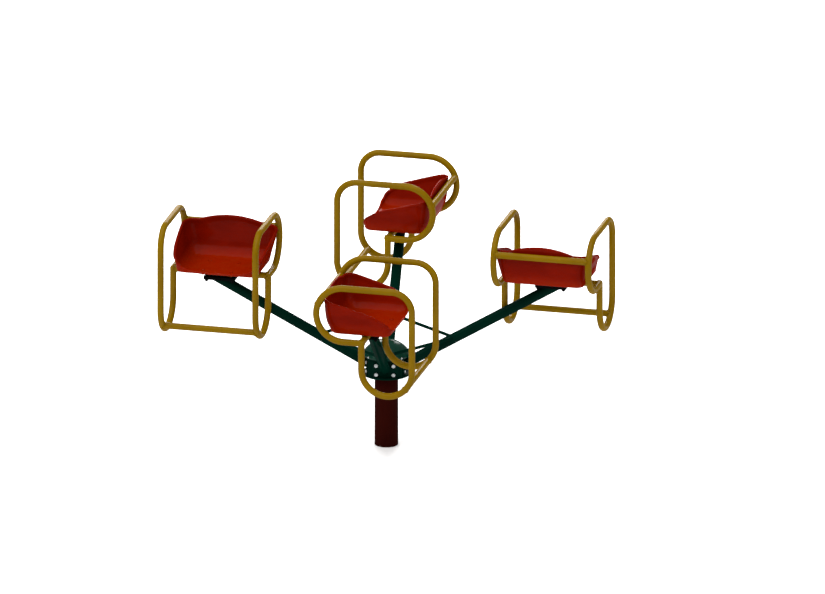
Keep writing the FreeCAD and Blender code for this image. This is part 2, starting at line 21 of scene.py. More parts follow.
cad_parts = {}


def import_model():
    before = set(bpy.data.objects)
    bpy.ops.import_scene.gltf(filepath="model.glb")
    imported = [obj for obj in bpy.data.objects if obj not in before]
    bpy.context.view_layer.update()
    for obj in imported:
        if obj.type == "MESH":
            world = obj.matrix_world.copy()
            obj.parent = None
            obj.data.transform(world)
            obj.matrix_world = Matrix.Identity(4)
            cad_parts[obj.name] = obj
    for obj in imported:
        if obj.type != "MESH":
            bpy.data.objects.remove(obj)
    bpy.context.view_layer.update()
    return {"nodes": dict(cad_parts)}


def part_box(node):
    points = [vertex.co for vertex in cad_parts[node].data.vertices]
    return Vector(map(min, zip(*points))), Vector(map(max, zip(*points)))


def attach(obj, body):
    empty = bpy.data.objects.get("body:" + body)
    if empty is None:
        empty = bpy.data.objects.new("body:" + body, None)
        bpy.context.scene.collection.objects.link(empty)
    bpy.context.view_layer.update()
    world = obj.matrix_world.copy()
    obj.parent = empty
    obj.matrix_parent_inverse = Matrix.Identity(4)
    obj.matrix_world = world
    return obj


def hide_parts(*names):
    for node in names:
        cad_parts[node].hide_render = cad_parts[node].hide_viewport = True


LOG = logging.getLogger("merry_go_round")
STATIONS = 4
X_AXIS, Y_AXIS, Z_AXIS = Vector((1, 0, 0)), Vector((0, 1, 0)), Vector((0, 0, 1))
ORIGIN = Vector((0, 0, 0))
ROUND = 128
SHARP_ANGLE = 0.6
MERGE_GAP = 1e-6
TUBE_SIDES = 32
HOUSING_DROP = 0.005
BMesh = bmesh.types.BMesh
Socket = bpy.types.NodeSocket
Triple = tuple[float, float, float]
Reach = Callable[[Vector], float]


class Body(str, Enum):
    """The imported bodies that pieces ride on."""

    BASE = "base"
    ROTOR = "rotor"


class Slot(str, Enum):
    """The record's material slots."""

    HUB_GREEN = "hub_green"
    DOME_GREEN = "dome_green"
    FRAME_YELLOW = "frame_yellow"
    SEAT_RED = "seat_red"
    POST_MAROON = "post_maroon"
    PLATE_BLACK = "plate_black"
    ZINC = "zinc_fastener"
    STEEL = "bearing_steel"
    SEAL = "seal_rubber"


# ------------------------------------------------------------------------------------------ node helpers
class NodeSheet:
    """A material's node tree, with short calls for the nodes that the finishes share."""

    MIX_COLOURS = (6, 7)
    MIX_RESULT = 2

    def __init__(self, name: str) -> None:
        """Starts an empty material.

        Args:
            name: the material's name.
        """
        self.material = bpy.data.materials.new(name)
        self.material.use_nodes = True
        self.tree = self.material.node_tree
        self.tree.nodes.clear()
        self.shader = self._node("BsdfPrincipled")
        self.link(self.shader.outputs["BSDF"], self._node("OutputMaterial").inputs["Surface"])
        self.place = self._node("TexCoord").outputs["Object"]

    def _node(self, kind: str, **values: float | tuple[float, ...]) -> bpy.types.Node:
        """Adds a node and sets some of its inputs.

        Args:
            kind: the node's type, without its prefix.
            values: what its inputs hold.

        Returns:
            The node.
        """
        node = self.tree.nodes.new(f"ShaderNode{kind}")
        self._fill(node, **values)
        return node

    @staticmethod
    def _fill(node: bpy.types.Node, **values: float | tuple[float, ...]) -> None:
        """Sets a node's inputs; an underscore in a name stands for a space."""
        for name, value in values.items():
            node.inputs[name.replace("_", " ")].default_value = value

    def link(self, source: Socket, target: Socket) -> None:
        """Joins two sockets."""
        self.tree.links.new(source, target)

    def set(self, **values: float | tuple[float, ...]) -> None:
        """Sets the shader's own inputs."""
        self._fill(self.shader, **values)

    def noise(self, scale: float, detail: float = 3.0, roughness: float = 0.5,
              stretch: Sequence[float] = (1, 1, 1)) -> Socket:
        """Cloud noise over the piece.

        Args:
            scale: features per metre.
            detail: octaves.
            roughness: share of each finer octave.
            stretch: how the noise is scaled along each axis.

        Returns:
            The noise's value, about 0.3 to 0.7.
        """
        mapping = self._node("Mapping", Scale=tuple(stretch))
        self.link(self.place, mapping.inputs["Vector"])
        node = self._node("TexNoise", Scale=scale, Detail=detail, Roughness=roughness)
        self.link(mapping.outputs["Vector"], node.inputs["Vector"])
        return node.outputs["Fac"]

    def cells(self, scale: float) -> Socket:
        """Distance to the nearest of many scattered points, for specks and flakes."""
        node = self._node("TexVoronoi", Scale=scale)
        self.link(self.place, node.inputs["Vector"])
        return node.outputs["Distance"]

    def span(self, source: Socket, low: float, high: float, to_low: float = 0.0,
             to_high: float = 1.0) -> Socket:
        """Maps one range of values smoothly on to another.

        Args:
            source: the value to map.
            low: start of its range.
            high: end of its range.
            to_low: result at the start.
            to_high: result at the end.

        Returns:
            The mapped value.
        """
        node = self._node("MapRange", From_Min=low, From_Max=high, To_Min=to_low, To_Max=to_high)
        node.interpolation_type = "SMOOTHSTEP"
        self.link(source, node.inputs["Value"])
        return node.outputs["Result"]

    def blend(self, share: Socket, first: Socket | Triple, second: Socket | Triple) -> Socket:
        """Mixes two colours.

        Args:
            share: how much of the second.
            first: a colour or a socket.
            second: a colour or a socket.

        Returns:
            The mixed colour.
        """
        node = self._node("Mix")
        node.data_type = "RGBA"
        self.link(share, node.inputs["Factor"])
        for index, value in zip(self.MIX_COLOURS, (first, second)):
            if isinstance(value, Socket):
                self.link(value, node.inputs[index])
            else:
                node.inputs[index].default_value = (*value, 1.0)
        return node.outputs[self.MIX_RESULT]

    def multiply(self, first: Socket, second: Socket) -> Socket:
        """The product of two values."""
        node = self._node("Math")
        node.operation = "MULTIPLY"
        self.link(first, node.inputs[0])
        self.link(second, node.inputs[1])
        return node.outputs[0]

    def height(self) -> Socket:
        """How high a point lies over the ground, in metres."""
        node = self._node("SeparateXYZ")
        self.link(self.place, node.inputs["Vector"])
        return node.outputs["Z"]

    def colour(self, source: Socket) -> None:
        """Drives the base colour."""
        self.link(source, self.shader.inputs["Base Color"])

    def roughness(self, source: Socket) -> None:
        """Drives the roughness."""
        self.link(source, self.shader.inputs["Roughness"])

    def bump(self, *layers: tuple[Socket, float, float]) -> None:
        """Stacks bumps on the shader's normal.

        Args:
            layers: (height, depth in metres, strength), from the coarsest.
        """
        normal = None
        for source, depth, strength in layers:
            node = self._node("Bump", Distance=depth, Strength=strength)
            self.link(source, node.inputs["Height"])
            if normal is not None:
                self.link(normal, node.inputs["Normal"])
            normal = node.outputs["Normal"]
        self.link(normal, self.shader.inputs["Normal"])


# ------------------------------------------------------------------------------------------ finishes
@dataclass(frozen=True)
class EnamelFinish:
    """Thick gloss enamel on steel tube: a slow drift of shade, orange peel, dust and rubbed patches."""

    name: str
    colour: Triple
    deep: Triple
    rubbed: Triple
    gloss: float = 0.24
    coat: float = 0.08
    peel: float = 0.35

    def build(self) -> bpy.types.Material:
        """Makes the material.

        Returns:
            The enamel.
        """
        sheet = NodeSheet(self.name)
        drift = sheet.span(sheet.noise(5.0, 4.0, 0.55), 0.34, 0.66)
        base = sheet.blend(drift, self.colour, self.deep)
        specks = sheet.span(sheet.cells(240.0), 0.05, 0.11, 0.55, 0.0)
        base = sheet.blend(specks, base, self.deep)
        scuffs = sheet.multiply(sheet.span(sheet.noise(34.0, 6.0, 0.7), 0.60, 0.72, 0.0, 0.55),
                                sheet.span(sheet.noise(6.5, 2.0), 0.50, 0.62))
        sheet.colour(sheet.blend(scuffs, base, self.rubbed))
        sheet.roughness(sheet.span(sheet.noise(21.0, 5.0, 0.62), 0.36, 0.68, self.gloss, self.gloss + 0.17))
        sheet.bump((sheet.noise(70.0, 2.0), 0.0006, self.peel),
                   (sheet.noise(420.0, 3.0, 0.6), 0.00012, self.peel))
        sheet.set(Specular_IOR_Level=0.0, Coat_Weight=self.coat, Coat_Roughness=0.2, Coat_IOR=1.5)
        return sheet.material


@dataclass(frozen=True)
class MouldedFinish:
    """Gloss moulded plastic: flow marks, faint mottling, hairline scratches, a dusty film in the pan, and
    painted light and shade: a lighter orange red low down and a deeper red up the back.
    """

    name: str
    colour: Triple
    deep: Triple
    film: Triple
    gloss: float = 0.2
    coat: float = 0.06
    dust_top: float = 0.93
    dust_band: float = 0.05
    # The lower colour and its band of heights are painted light: a lighter orange red that stands in for light
    # on the pan, and for shade higher up.
    painted_light_colour: Triple = (0.245, 0.0095, 0.0)
    painted_light_top: float = 0.955
    painted_light_band: float = 0.12

    def build(self) -> bpy.types.Material:
        """Makes the material.

        Returns:
            The plastic.
        """
        sheet = NodeSheet(self.name)
        flow = sheet.span(sheet.noise(7.0, 5.0, 0.5, (1.0, 1.0, 2.2)), 0.33, 0.67)
        # Painted light and shade by height: below the band the shell turns the lighter orange red, and above it
        # the shell keeps the deeper red.
        painted_light_share = sheet.span(sheet.height(), self.painted_light_top - self.painted_light_band, self.painted_light_top, 1.0, 0.0)
        base = sheet.blend(painted_light_share, sheet.blend(flow, self.colour, self.deep), self.painted_light_colour)
        low = sheet.span(sheet.height(), self.dust_top - self.dust_band, self.dust_top, 0.30, 0.0)
        dust = sheet.multiply(low, sheet.span(sheet.noise(26.0, 6.0, 0.68), 0.40, 0.66))
        sheet.colour(sheet.blend(dust, base, self.film))
        sheet.roughness(sheet.span(sheet.noise(30.0, 6.0, 0.7), 0.35, 0.70, self.gloss, self.gloss + 0.16))
        scratches = sheet.span(sheet.noise(90.0, 4.0, 0.75, (1.0, 14.0, 3.0)), 0.60, 0.70)
        sheet.bump((sheet.noise(24.0, 2.0), 0.0008, 0.07), (sheet.noise(800.0, 2.0), 0.00004, 0.2),
                   (scratches, 0.00003, 0.12))
        sheet.set(Specular_IOR_Level=0.0, Coat_Weight=self.coat, Coat_Roughness=0.07, Coat_IOR=1.46)
        return sheet.material


@dataclass(frozen=True)
class PlatedFinish:
    """Bright zinc plate: a cool metal with cloudy passivation and fine tool marks."""

    name: str
    colour: Triple
    cloudy: Triple
    shine: float = 0.22

    def build(self) -> bpy.types.Material:
        """Makes the material.

        Returns:
            The plated metal.
        """
        sheet = NodeSheet(self.name)
        cloud = sheet.span(sheet.noise(130.0, 5.0, 0.6), 0.38, 0.64)
        stain = sheet.span(sheet.cells(420.0), 0.02, 0.14, 0.5, 0.0)
        sheet.colour(sheet.blend(stain, sheet.blend(cloud, self.colour, self.cloudy), self.cloudy))
        sheet.roughness(sheet.span(sheet.noise(260.0, 4.0, 0.6), 0.36, 0.66, self.shine, self.shine + 0.22))
        sheet.bump((sheet.noise(900.0, 2.0), 0.00006, 0.4))
        sheet.set(Metallic=1.0)
        return sheet.material


@dataclass(frozen=True)
class GroundSteelFinish:
    """Turned and ground bearing steel: rings of fine tool marks under a film of oil."""

    name: str
    colour: Triple = (0.56, 0.57, 0.58)
    oiled: Triple = (0.30, 0.28, 0.24)

    def build(self) -> bpy.types.Material:
        """Makes the material.

        Returns:
            The steel.
        """
        sheet = NodeSheet(self.name)
        rings = sheet.noise(60.0, 4.0, 0.6, (0.4, 0.4, 22.0))
        oil = sheet.span(sheet.noise(40.0, 3.0), 0.42, 0.62, 0.0, 0.8)
        sheet.colour(sheet.blend(oil, self.colour, self.oiled))
        sheet.roughness(sheet.span(rings, 0.35, 0.65, 0.14, 0.34))
        sheet.bump((rings, 0.00006, 0.5))
        sheet.set(Metallic=1.0)
        return sheet.material


@dataclass(frozen=True)
class RubberFinish:
    """Matt black rubber with a grey bloom."""

    name: str
    colour: Triple = (0.012, 0.012, 0.012)
    bloom: Triple = (0.05, 0.048, 0.045)

    def build(self) -> bpy.types.Material:
        """Makes the material.

        Returns:
            The rubber.
        """
        sheet = NodeSheet(self.name)
        bloom = sheet.span(sheet.noise(60.0, 5.0, 0.65), 0.45, 0.7, 0.0, 0.7)
        sheet.colour(sheet.blend(bloom, self.colour, self.bloom))
        sheet.roughness(sheet.span(bloom, 0.0, 0.7, 0.62, 0.85))
        sheet.bump((sheet.noise(700.0, 2.0), 0.0001, 0.4))
        return sheet.material


@dataclass(frozen=True)
class FloorFinish:
    """A plain pale studio floor, with the faintest unevenness."""

    name: str = "studio_floor"
    colour: Triple = (0.90, 0.90, 0.895)
    shade: Triple = (0.885, 0.885, 0.882)

    def build(self) -> bpy.types.Material:
        """Makes the material.

        Returns:
            The floor's material.
        """
        sheet = NodeSheet(self.name)
        drift = sheet.span(sheet.noise(0.8, 2.0), 0.4, 0.6)
        sheet.colour(sheet.blend(drift, self.colour, self.shade))
        sheet.set(Roughness=0.8, Specular_IOR_Level=0.2)
        return sheet.material


class Paintbox:
    """Every finish on the object, each made once and handed out by its slot."""

    def __init__(self) -> None:
        """Makes the materials."""
        finishes = {
            Slot.HUB_GREEN: EnamelFinish("green_enamel", (0.0002, 0.0135, 0.0080), (0.0001, 0.0095, 0.0058),
                                         (0.004, 0.028, 0.018), gloss=0.32, coat=0.02),
            Slot.DOME_GREEN: EnamelFinish("dome_enamel", (0.0004, 0.028, 0.016), (0.0002, 0.021, 0.012),
                                          (0.008, 0.045, 0.030), gloss=0.14, coat=0.25, peel=0.2),
            Slot.FRAME_YELLOW: EnamelFinish("yellow_enamel", (0.188, 0.106, 0.0), (0.160, 0.087, 0.0),
                                            (0.26, 0.16, 0.008), coat=0.11),
            Slot.SEAT_RED: MouldedFinish("red_moulding", (0.176, 0.0046, 0.0), (0.140, 0.0034, 0.0),
                                         (0.21, 0.020, 0.002)),
            Slot.POST_MAROON: EnamelFinish("maroon_enamel", (0.022, 0.0018, 0.0008), (0.016, 0.0013, 0.0006),
                                           (0.04, 0.008, 0.006), gloss=0.36, coat=0.02, peel=0.5),
            Slot.PLATE_BLACK: EnamelFinish("black_enamel", (0.0035, 0.0037, 0.004), (0.002, 0.002, 0.002),
                                           (0.015, 0.015, 0.015), gloss=0.42, coat=0.02, peel=0.5),
            Slot.ZINC: PlatedFinish("zinc_plate", (0.42, 0.43, 0.44), (0.28, 0.29, 0.28)),
            Slot.STEEL: GroundSteelFinish("ground_steel"),
            Slot.SEAL: RubberFinish("seal_rubber"),
        }
        self.materials = {slot: finish.build() for slot, finish in finishes.items()}

    def dress(self, piece: bpy.types.Object, slot: Slot) -> None:
        """Gives a piece one finish."""
        piece.data.materials.clear()
        piece.data.materials.append(self.materials[slot])


# ------------------------------------------------------------------------------------------ mesh helpers
def as_mesh(name: str, bm: BMesh, sharp_degrees: float = 40.0) -> bpy.types.Mesh:
    """Merges doubles, points the faces outwards and marks the sharp edges.

    Args:
        name: the mesh's name.
        bm: the mesh being built, which is freed.
        sharp_degrees: edges that turn by more than this stay sharp.

    Returns:
        The finished mesh.
    """
    bmesh.ops.remove_doubles(bm, verts=bm.verts, dist=MERGE_GAP)
    bmesh.ops.recalc_face_normals(bm, faces=bm.faces)
    limit = math.radians(sharp_degrees)
    for face in bm.faces:
        face.smooth = True
    for edge in bm.edges:
        edge.smooth = len(edge.link_faces) == 2 and edge.calc_face_angle(0.0) < limit
    mesh = bpy.data.meshes.new(name)
    bm.to_mesh(mesh)
    bm.free()
    return mesh


def merged(*parts: BMesh) -> BMesh:
    """Puts several meshes into the first one and frees the others."""
    first = parts[0]
    for part in parts[1:]:
        scratch = bpy.data.meshes.new("scratch")
        part.to_mesh(scratch)
        part.free()
        first.from_mesh(scratch)
        bpy.data.meshes.remove(scratch)
    return first


def placed(bm: BMesh, place: Matrix) -> BMesh:
    """Moves a mesh by a matrix and hands it back."""
    bmesh.ops.transform(bm, matrix=place, verts=bm.verts)
    return bm


def copies(bm: BMesh, places: Sequence[Matrix]) -> BMesh:
    """Repeats a mesh at each of several places.

    Args:
        bm: the mesh to repeat, which is freed.
        places: where each copy goes.

    Returns:
        One mesh with every copy.
    """
    result = bmesh.new()
    scratch = bpy.data.meshes.new("scratch")
    bm.to_mesh(scratch)
    bm.free()
    for place in places:
        copy = scratch.copy()
        copy.transform(place)
        result.from_mesh(copy)
        bpy.data.meshes.remove(copy)
    bpy.data.meshes.remove(scratch)
    return result


def spun(profile: Sequence[tuple[float, float]], steps: int = 96, closed: bool = False) -> BMesh:
    """Turns a profile of (radius, height) points about the Z axis.

    Args:
        profile: the points in order; a radius of 0 makes a pole.
        steps: segments round.
        closed: joins the last point back to the first, as for a ring.

    Returns:
        The turned mesh.
    """
    bm = bmesh.new()
    verts = [bm.verts.new((radius, 0, z)) for radius, z in profile]
    ends = verts[1:] + verts[:1] if closed else verts[1:]
    edges = [bm.edges.new(pair) for pair in zip(verts, ends)]
    bmesh.ops.spin(bm, geom=verts + edges, cent=ORIGIN, axis=Z_AXIS, dvec=ORIGIN, angle=math.tau, steps=steps,
                   use_merge=True, use_duplicate=False)
    bmesh.ops.remove_doubles(bm, verts=bm.verts, dist=MERGE_GAP)
    return bm


def washer_ring(inner: float, outer: float, bottom: float, top: float, edge: float,
                steps: int = 96) -> BMesh:
    """A flat ring with softened edges.

    Args:
        inner: the bore's radius.
        outer: the outer radius.
        bottom: the lower face's height.
        top: the upper face's height.
        edge: how far its edges are softened.
        steps: segments round.

    Returns:
        The ring.
    """
    soft = edge * 0.3
    profile = [(inner, bottom), (outer - edge, bottom), (outer - soft, bottom + soft), (outer, bottom + edge),
               (outer, top - edge), (outer - soft, top - soft), (outer - edge, top), (inner, top)]
    return spun(profile, steps, closed=True)


def of_kind(items: Sequence[object], kind: type) -> list:
    """The items of one kind, in their order."""
    return [item for item in items if isinstance(item, kind)]


def bevelled(bm: BMesh, edges: list[bmesh.types.BMEdge], offset: float, segments: int = 2) -> BMesh:
    """Rounds some edges of a mesh and hands it back."""
    bmesh.ops.bevel(bm, geom=edges, offset=offset, offset_type="OFFSET", segments=segments, profile=0.5,
                    affect="EDGES", material=-1)
    return bm


def cuboid(low: Vector, high: Vector) -> BMesh:
    """A plain block between two corners."""
    bm = bmesh.new()
    centre = Matrix.Translation((low + high) / 2)
    bmesh.ops.create_cube(bm, size=1.0, matrix=centre @ Matrix.Diagonal((*(high - low), 1.0)))
    return bm


def plate(low: Vector, high: Vector, edge: float, corner: float = 0.0) -> BMesh:
    """A rectangular plate with softened edges and, if asked, rounded corners.

    Args:
        low: its lowest corner.
        high: its highest corner.
        edge: how far its edges are softened.
        corner: radius of the corners across the thinnest direction.

    Returns:
        The plate.
    """
    bm, size = cuboid(low, high), high - low
    if corner:
        thin = min(range(3), key=lambda i: size[i])
        upright = [e for e in bm.edges if abs((e.verts[0].co - e.verts[1].co)[thin]) > size[thin] * 0.9]
        bevelled(bm, upright, corner, 6)
    return bevelled(bm, [e for e in bm.edges if e.calc_face_angle(0.0) > SHARP_ANGLE], edge)


def turned(degrees: float) -> Matrix:
    """A turn about the spin axis."""
    return Matrix.Rotation(math.radians(degrees), 4, "Z")


def stations() -> list[Matrix]:
    """The turns that take the first station to each of the four."""
    return [turned(360 * k / STATIONS) for k in range(STATIONS)]


def tossed(dice: random.Random) -> Matrix:
    """A chance turn about a hexagon's own axis, so that no two stand alike."""
    return turned(dice.uniform(0, 60))


def facing(place: Vector, axis: Vector) -> Matrix:
    """A placement that takes +Z to an axis and the origin to a place."""
    return Matrix.Translation(place) @ axis.to_track_quat("Z", "Y").to_matrix().to_4x4()


def plane_reach(point: Vector, normal: Vector, along: Vector) -> Reach:
    """How far a point moves along a direction to meet a plane."""
    return lambda p: (point - p).dot(normal) / along.dot(normal)


def tube_reach(point: Vector, axis: Vector, radius: float, along: Vector) -> Reach:
    """How far a point moves along a direction to meet the nearer side of a round tube.

    Args:
        point: any point on the tube's axis.
        axis: the tube's direction, of unit length.
        radius: the tube's radius.
        along: the direction of travel, of unit length.

    Returns:
        A function from a point to its distance.
    """
    way = along - axis * along.dot(axis)

    def reach(p: Vector) -> float:
        """The nearer crossing's distance."""
        gap = p - point
        gap = gap - axis * gap.dot(axis)
        a, b, c = way.dot(way), gap.dot(way), gap.dot(gap) - radius * radius
        return (-b - math.sqrt(max(0.0, b * b - a * c))) / a
    return reach


def smooth_through(points: Sequence[tuple[float, float]], x: float) -> float:
    """A smooth curve through points of rising x, level past its ends.

    Args:
        points: (x, value) pairs.
        x: where to read the curve.

    Returns:
        The value there.
    """
    if x <= points[0][0]:
        return points[0][1]
    if x >= points[-1][0]:
        return points[-1][1]
    i = next(i for i in range(len(points) - 1) if x <= points[i + 1][0])
    (x0, y0), (x1, y1) = points[i], points[i + 1]

    def slope(j: int) -> float:
        """The curve's slope at a point, from its two neighbours."""
        before, after = points[max(0, j - 1)], points[min(len(points) - 1, j + 1)]
        return (after[1] - before[1]) / (after[0] - before[0])
    t, width = (x - x0) / (x1 - x0), x1 - x0
    return ((2 * t ** 3 - 3 * t ** 2 + 1) * y0 + (t ** 3 - 2 * t ** 2 + t) * width * slope(i)
            + (3 * t ** 2 - 2 * t ** 3) * y1 + (t ** 3 - t ** 2) * width * slope(i + 1))


def ease(low: float, high: float, x: float) -> float:
    """Rises smoothly from 0 at low to 1 at high."""
    t = min(1.0, max(0.0, (x - low) / (high - low)))
    return t * t * (3 - 2 * t)


def soft_min(a: float, b: float, blend: float) -> float:
    """The lesser of two values, rounded off where they cross."""
    h = max(0.0, blend - abs(a - b)) / blend
    return min(a, b) - h * h * blend / 4


class TubeRun:
    """A tube swept by carrying a ring of vertices along straight runs and bends."""

    def __init__(self, radius: float, start: Vector, heading: Vector, sides: int = TUBE_SIDES) -> None:
        """Starts a tube.

        Args:
            radius: the tube's outer radius.
            start: the first centre.
            heading: the way the tube sets off.
            sides: vertices round it.
        """
        self.bm = bmesh.new()
        made = bmesh.ops.create_circle(self.bm, cap_ends=False, radius=radius, segments=sides,
                                       matrix=facing(start, heading))
        self.first = list(made["verts"])
        self.ring: list[bmesh.types.BMVert] = list(self.first)
        self.edges: list[bmesh.types.BMEdge] = list(self.bm.edges)

    def to(self, reach: Reach, along: Vector) -> TubeRun:
        """Runs straight on until every point has met a surface."""
        grown = bmesh.ops.extrude_edge_only(self.bm, edges=self.edges)["geom"]
        self.ring = of_kind(grown, bmesh.types.BMVert)
        ring = set(self.ring)
        self.edges = [edge for edge in of_kind(grown, bmesh.types.BMEdge) if set(edge.verts) <= ring]
        for vert in self.ring:
            vert.co = vert.co + along * reach(vert.co)
        return self

    def trim_start(self, reach: Reach, along: Vector) -> TubeRun:
        """Moves the first ring back until it has met a surface."""
        for vert in self.first:
            vert.co = vert.co + along * reach(vert.co)
        return self

    def bend(self, centre: Vector, axis: Vector, degrees: float, steps: int) -> TubeRun:
        """Goes round a bend about an axis."""
        last = bmesh.ops.spin(self.bm, geom=self.ring + self.edges, cent=centre, axis=axis, dvec=ORIGIN,
                              angle=math.radians(degrees), steps=steps, use_merge=False,
                              use_duplicate=False)["geom_last"]
        self.ring = of_kind(last, bmesh.types.BMVert)
        self.edges = of_kind(last, bmesh.types.BMEdge)
        return self

    def capped(self) -> BMesh:
        """Closes both open ends and returns the mesh."""
        bmesh.ops.holes_fill(self.bm, edges=[edge for edge in self.bm.edges if edge.is_boundary], sides=0)
        return self.bm

    def joined(self) -> BMesh:
        """Welds the last ring to the first and returns the mesh."""
        bmesh.ops.remove_doubles(self.bm, verts=self.bm.verts, dist=1e-5)
        return self.bm


@dataclass(frozen=True)
class WeldBead:
    """A rippled fillet of weld, round a tube's end or along a line."""

    radius: float
    bead: float = 0.0030
    ripple: float = 0.0005
    ripple_length: float = 0.0034
    sink: float = 0.3
    least_end: float = 0.04

    def around(self, centre: Vector, axis: Vector, reach: Reach, steps: int = 132) -> BMesh:
        """Lays the weld round the end of a tube.

        Args:
            centre: a point on the tube's axis near the joint.
            axis: the tube's direction towards the joint, of unit length.
            reach: how far a point on the tube travels along the axis to the joint.
            steps: segments round.

        Returns:
            The weld's mesh.
        """
        bm = bmesh.new()
        place = facing(centre, axis)
        across = Matrix.Translation((self.radius, 0, 0)) @ Matrix.Rotation(math.pi / 2, 4, "X")
        bmesh.ops.create_circle(bm, cap_ends=False, radius=self.bead, segments=8, matrix=across)
        bmesh.ops.spin(bm, geom=list(bm.verts) + list(bm.edges), cent=ORIGIN, axis=Z_AXIS, dvec=ORIGIN,
                       angle=math.tau, steps=steps, use_merge=True, use_duplicate=False)
        ripples = round(math.tau * self.radius / self.ripple_length)
        for vert in bm.verts:
            angle = math.atan2(vert.co.y, vert.co.x)
            arm = Vector((math.cos(angle), math.sin(angle), 0)) * self.radius
            swell = 1.0 + self.ripple / self.bead * math.sin(angle * ripples)
            local = arm + (vert.co - arm) * swell
            vert.co = place @ local + axis * (reach(place @ arm) - self.bead * self.sink)
        return bm

    def along(self, start: Vector, end: Vector) -> BMesh:
        """Lays the weld along a straight joint, with rounded ends.

        Args:
            start: where it begins.
            end: where it stops.

        Returns:
            The weld's mesh.
        """
        length = (end - start).length
        steps = max(12, round(length / self.ripple_length * 3))
        run = TubeRun(self.bead, ORIGIN, Z_AXIS, 8)
        for i in range(steps):
            run.to(lambda p: length / steps, Z_AXIS)
        for vert in run.bm.verts:
            z = vert.co.z
            end_gap = min(z, length - z) / (self.bead * 1.5)
            taper = math.sqrt(max(self.least_end, 1 - (1 - min(1.0, end_gap)) ** 2))
            swell = taper * (1.0 + self.ripple / self.bead * math.sin(z / self.ripple_length * math.tau))
            vert.co.x, vert.co.y = vert.co.x * swell, vert.co.y * swell
        return placed(run.capped(), facing(start, (end - start).normalized()))


@dataclass(frozen=True)
class Fastener:
    """One size of bolt, with its nut and washer.

    Attributes:
        thread: the shank's radius.
        flats: the hexagon's width across its flats.
        head: the height of the head, and of the nut.
        washer_radius: the washer's outer radius.
        washer: the washer's thickness.
        pitch: from one thread to the next.
        spare: how much thread stands out of the nut.
    """

    thread: float
    flats: float
    head: float
    washer_radius: float
    washer: float
    pitch: float = 0.0016
    spare: float = 0.003

    def _hexagon(self, bottom: float) -> BMesh:
        """A hexagonal block with chamfered corners, standing on a height."""
        bm = bmesh.new()
        bmesh.ops.create_circle(bm, cap_ends=True, radius=self.flats / math.sqrt(3) * 0.995, segments=6,
                                matrix=Matrix.Translation((0, 0, bottom)))
        grown = bmesh.ops.extrude_face_region(bm, geom=list(bm.faces))["geom"]
        bmesh.ops.translate(bm, verts=of_kind(grown, bmesh.types.BMVert), vec=(0, 0, self.head - 0.0003))
        return bevelled(bm, list(bm.edges), self.flats * 0.05)

    def grip(self, clamped: float) -> float:
        """The shank's length through some clamped plates, a washer and a nut."""
        return clamped + self.washer + self.head + self.spare

    def shank(self, length: float) -> BMesh:
        """The bolt's shank below z = 0, threaded near its end."""
        turns = min(9, int(length / self.pitch) - 1)
        z = -length + turns * self.pitch
        profile = [(0, 0), (self.thread, 0), (self.thread, z)]
        for _ in range(turns):
            profile += [(self.thread * 0.88, z - self.pitch * 0.5), (self.thread, z - self.pitch)]
            z -= self.pitch
        profile[-1] = (self.thread * 0.82, -length)
        return spun([*profile, (0, -length)], 24)

    def hex_bolt(self, length: float) -> BMesh:
        """A hexagon head standing on z = 0, with a turned boss on top and the shank below."""
        boss, seat, edge = self.flats * 0.45, self.head * 0.6, 0.0005
        crown = spun([(0, seat), (boss, seat), (boss, self.head - edge), (boss - edge, self.head),
                      (0, self.head)], 32)
        return merged(self._hexagon(0.0), crown, self.shank(length))

    def dome_bolt(self, radius: float, height: float, length: float) -> BMesh:
        """A low domed head standing on z = 0, with the shank below."""
        steps = 8
        profile = [(0, 0), (radius, 0), (radius, height * 0.22)]
        profile += [(radius * math.cos(math.pi / 2 * i / steps),
                     height * (0.22 + 0.78 * math.sin(math.pi / 2 * i / steps))) for i in range(1, steps + 1)]
        return merged(spun(profile, 32), self.shank(length))

    def nut(self) -> BMesh:
        """A washer and a nut, standing on z = 0."""
        ring = washer_ring(self.thread, self.washer_radius, 0.0, self.washer, self.washer * 0.2, 36)
        return merged(ring, self._hexagon(self.washer))


M5 = Fastener(0.0025, 0.005, 0.0026, 0.005, 0.001, pitch=0.0008)
M10 = Fastener(0.005, 0.016, 0.0064, 0.010, 0.002)
M12 = Fastener(0.006, 0.018, 0.0075, 0.012, 0.0025)


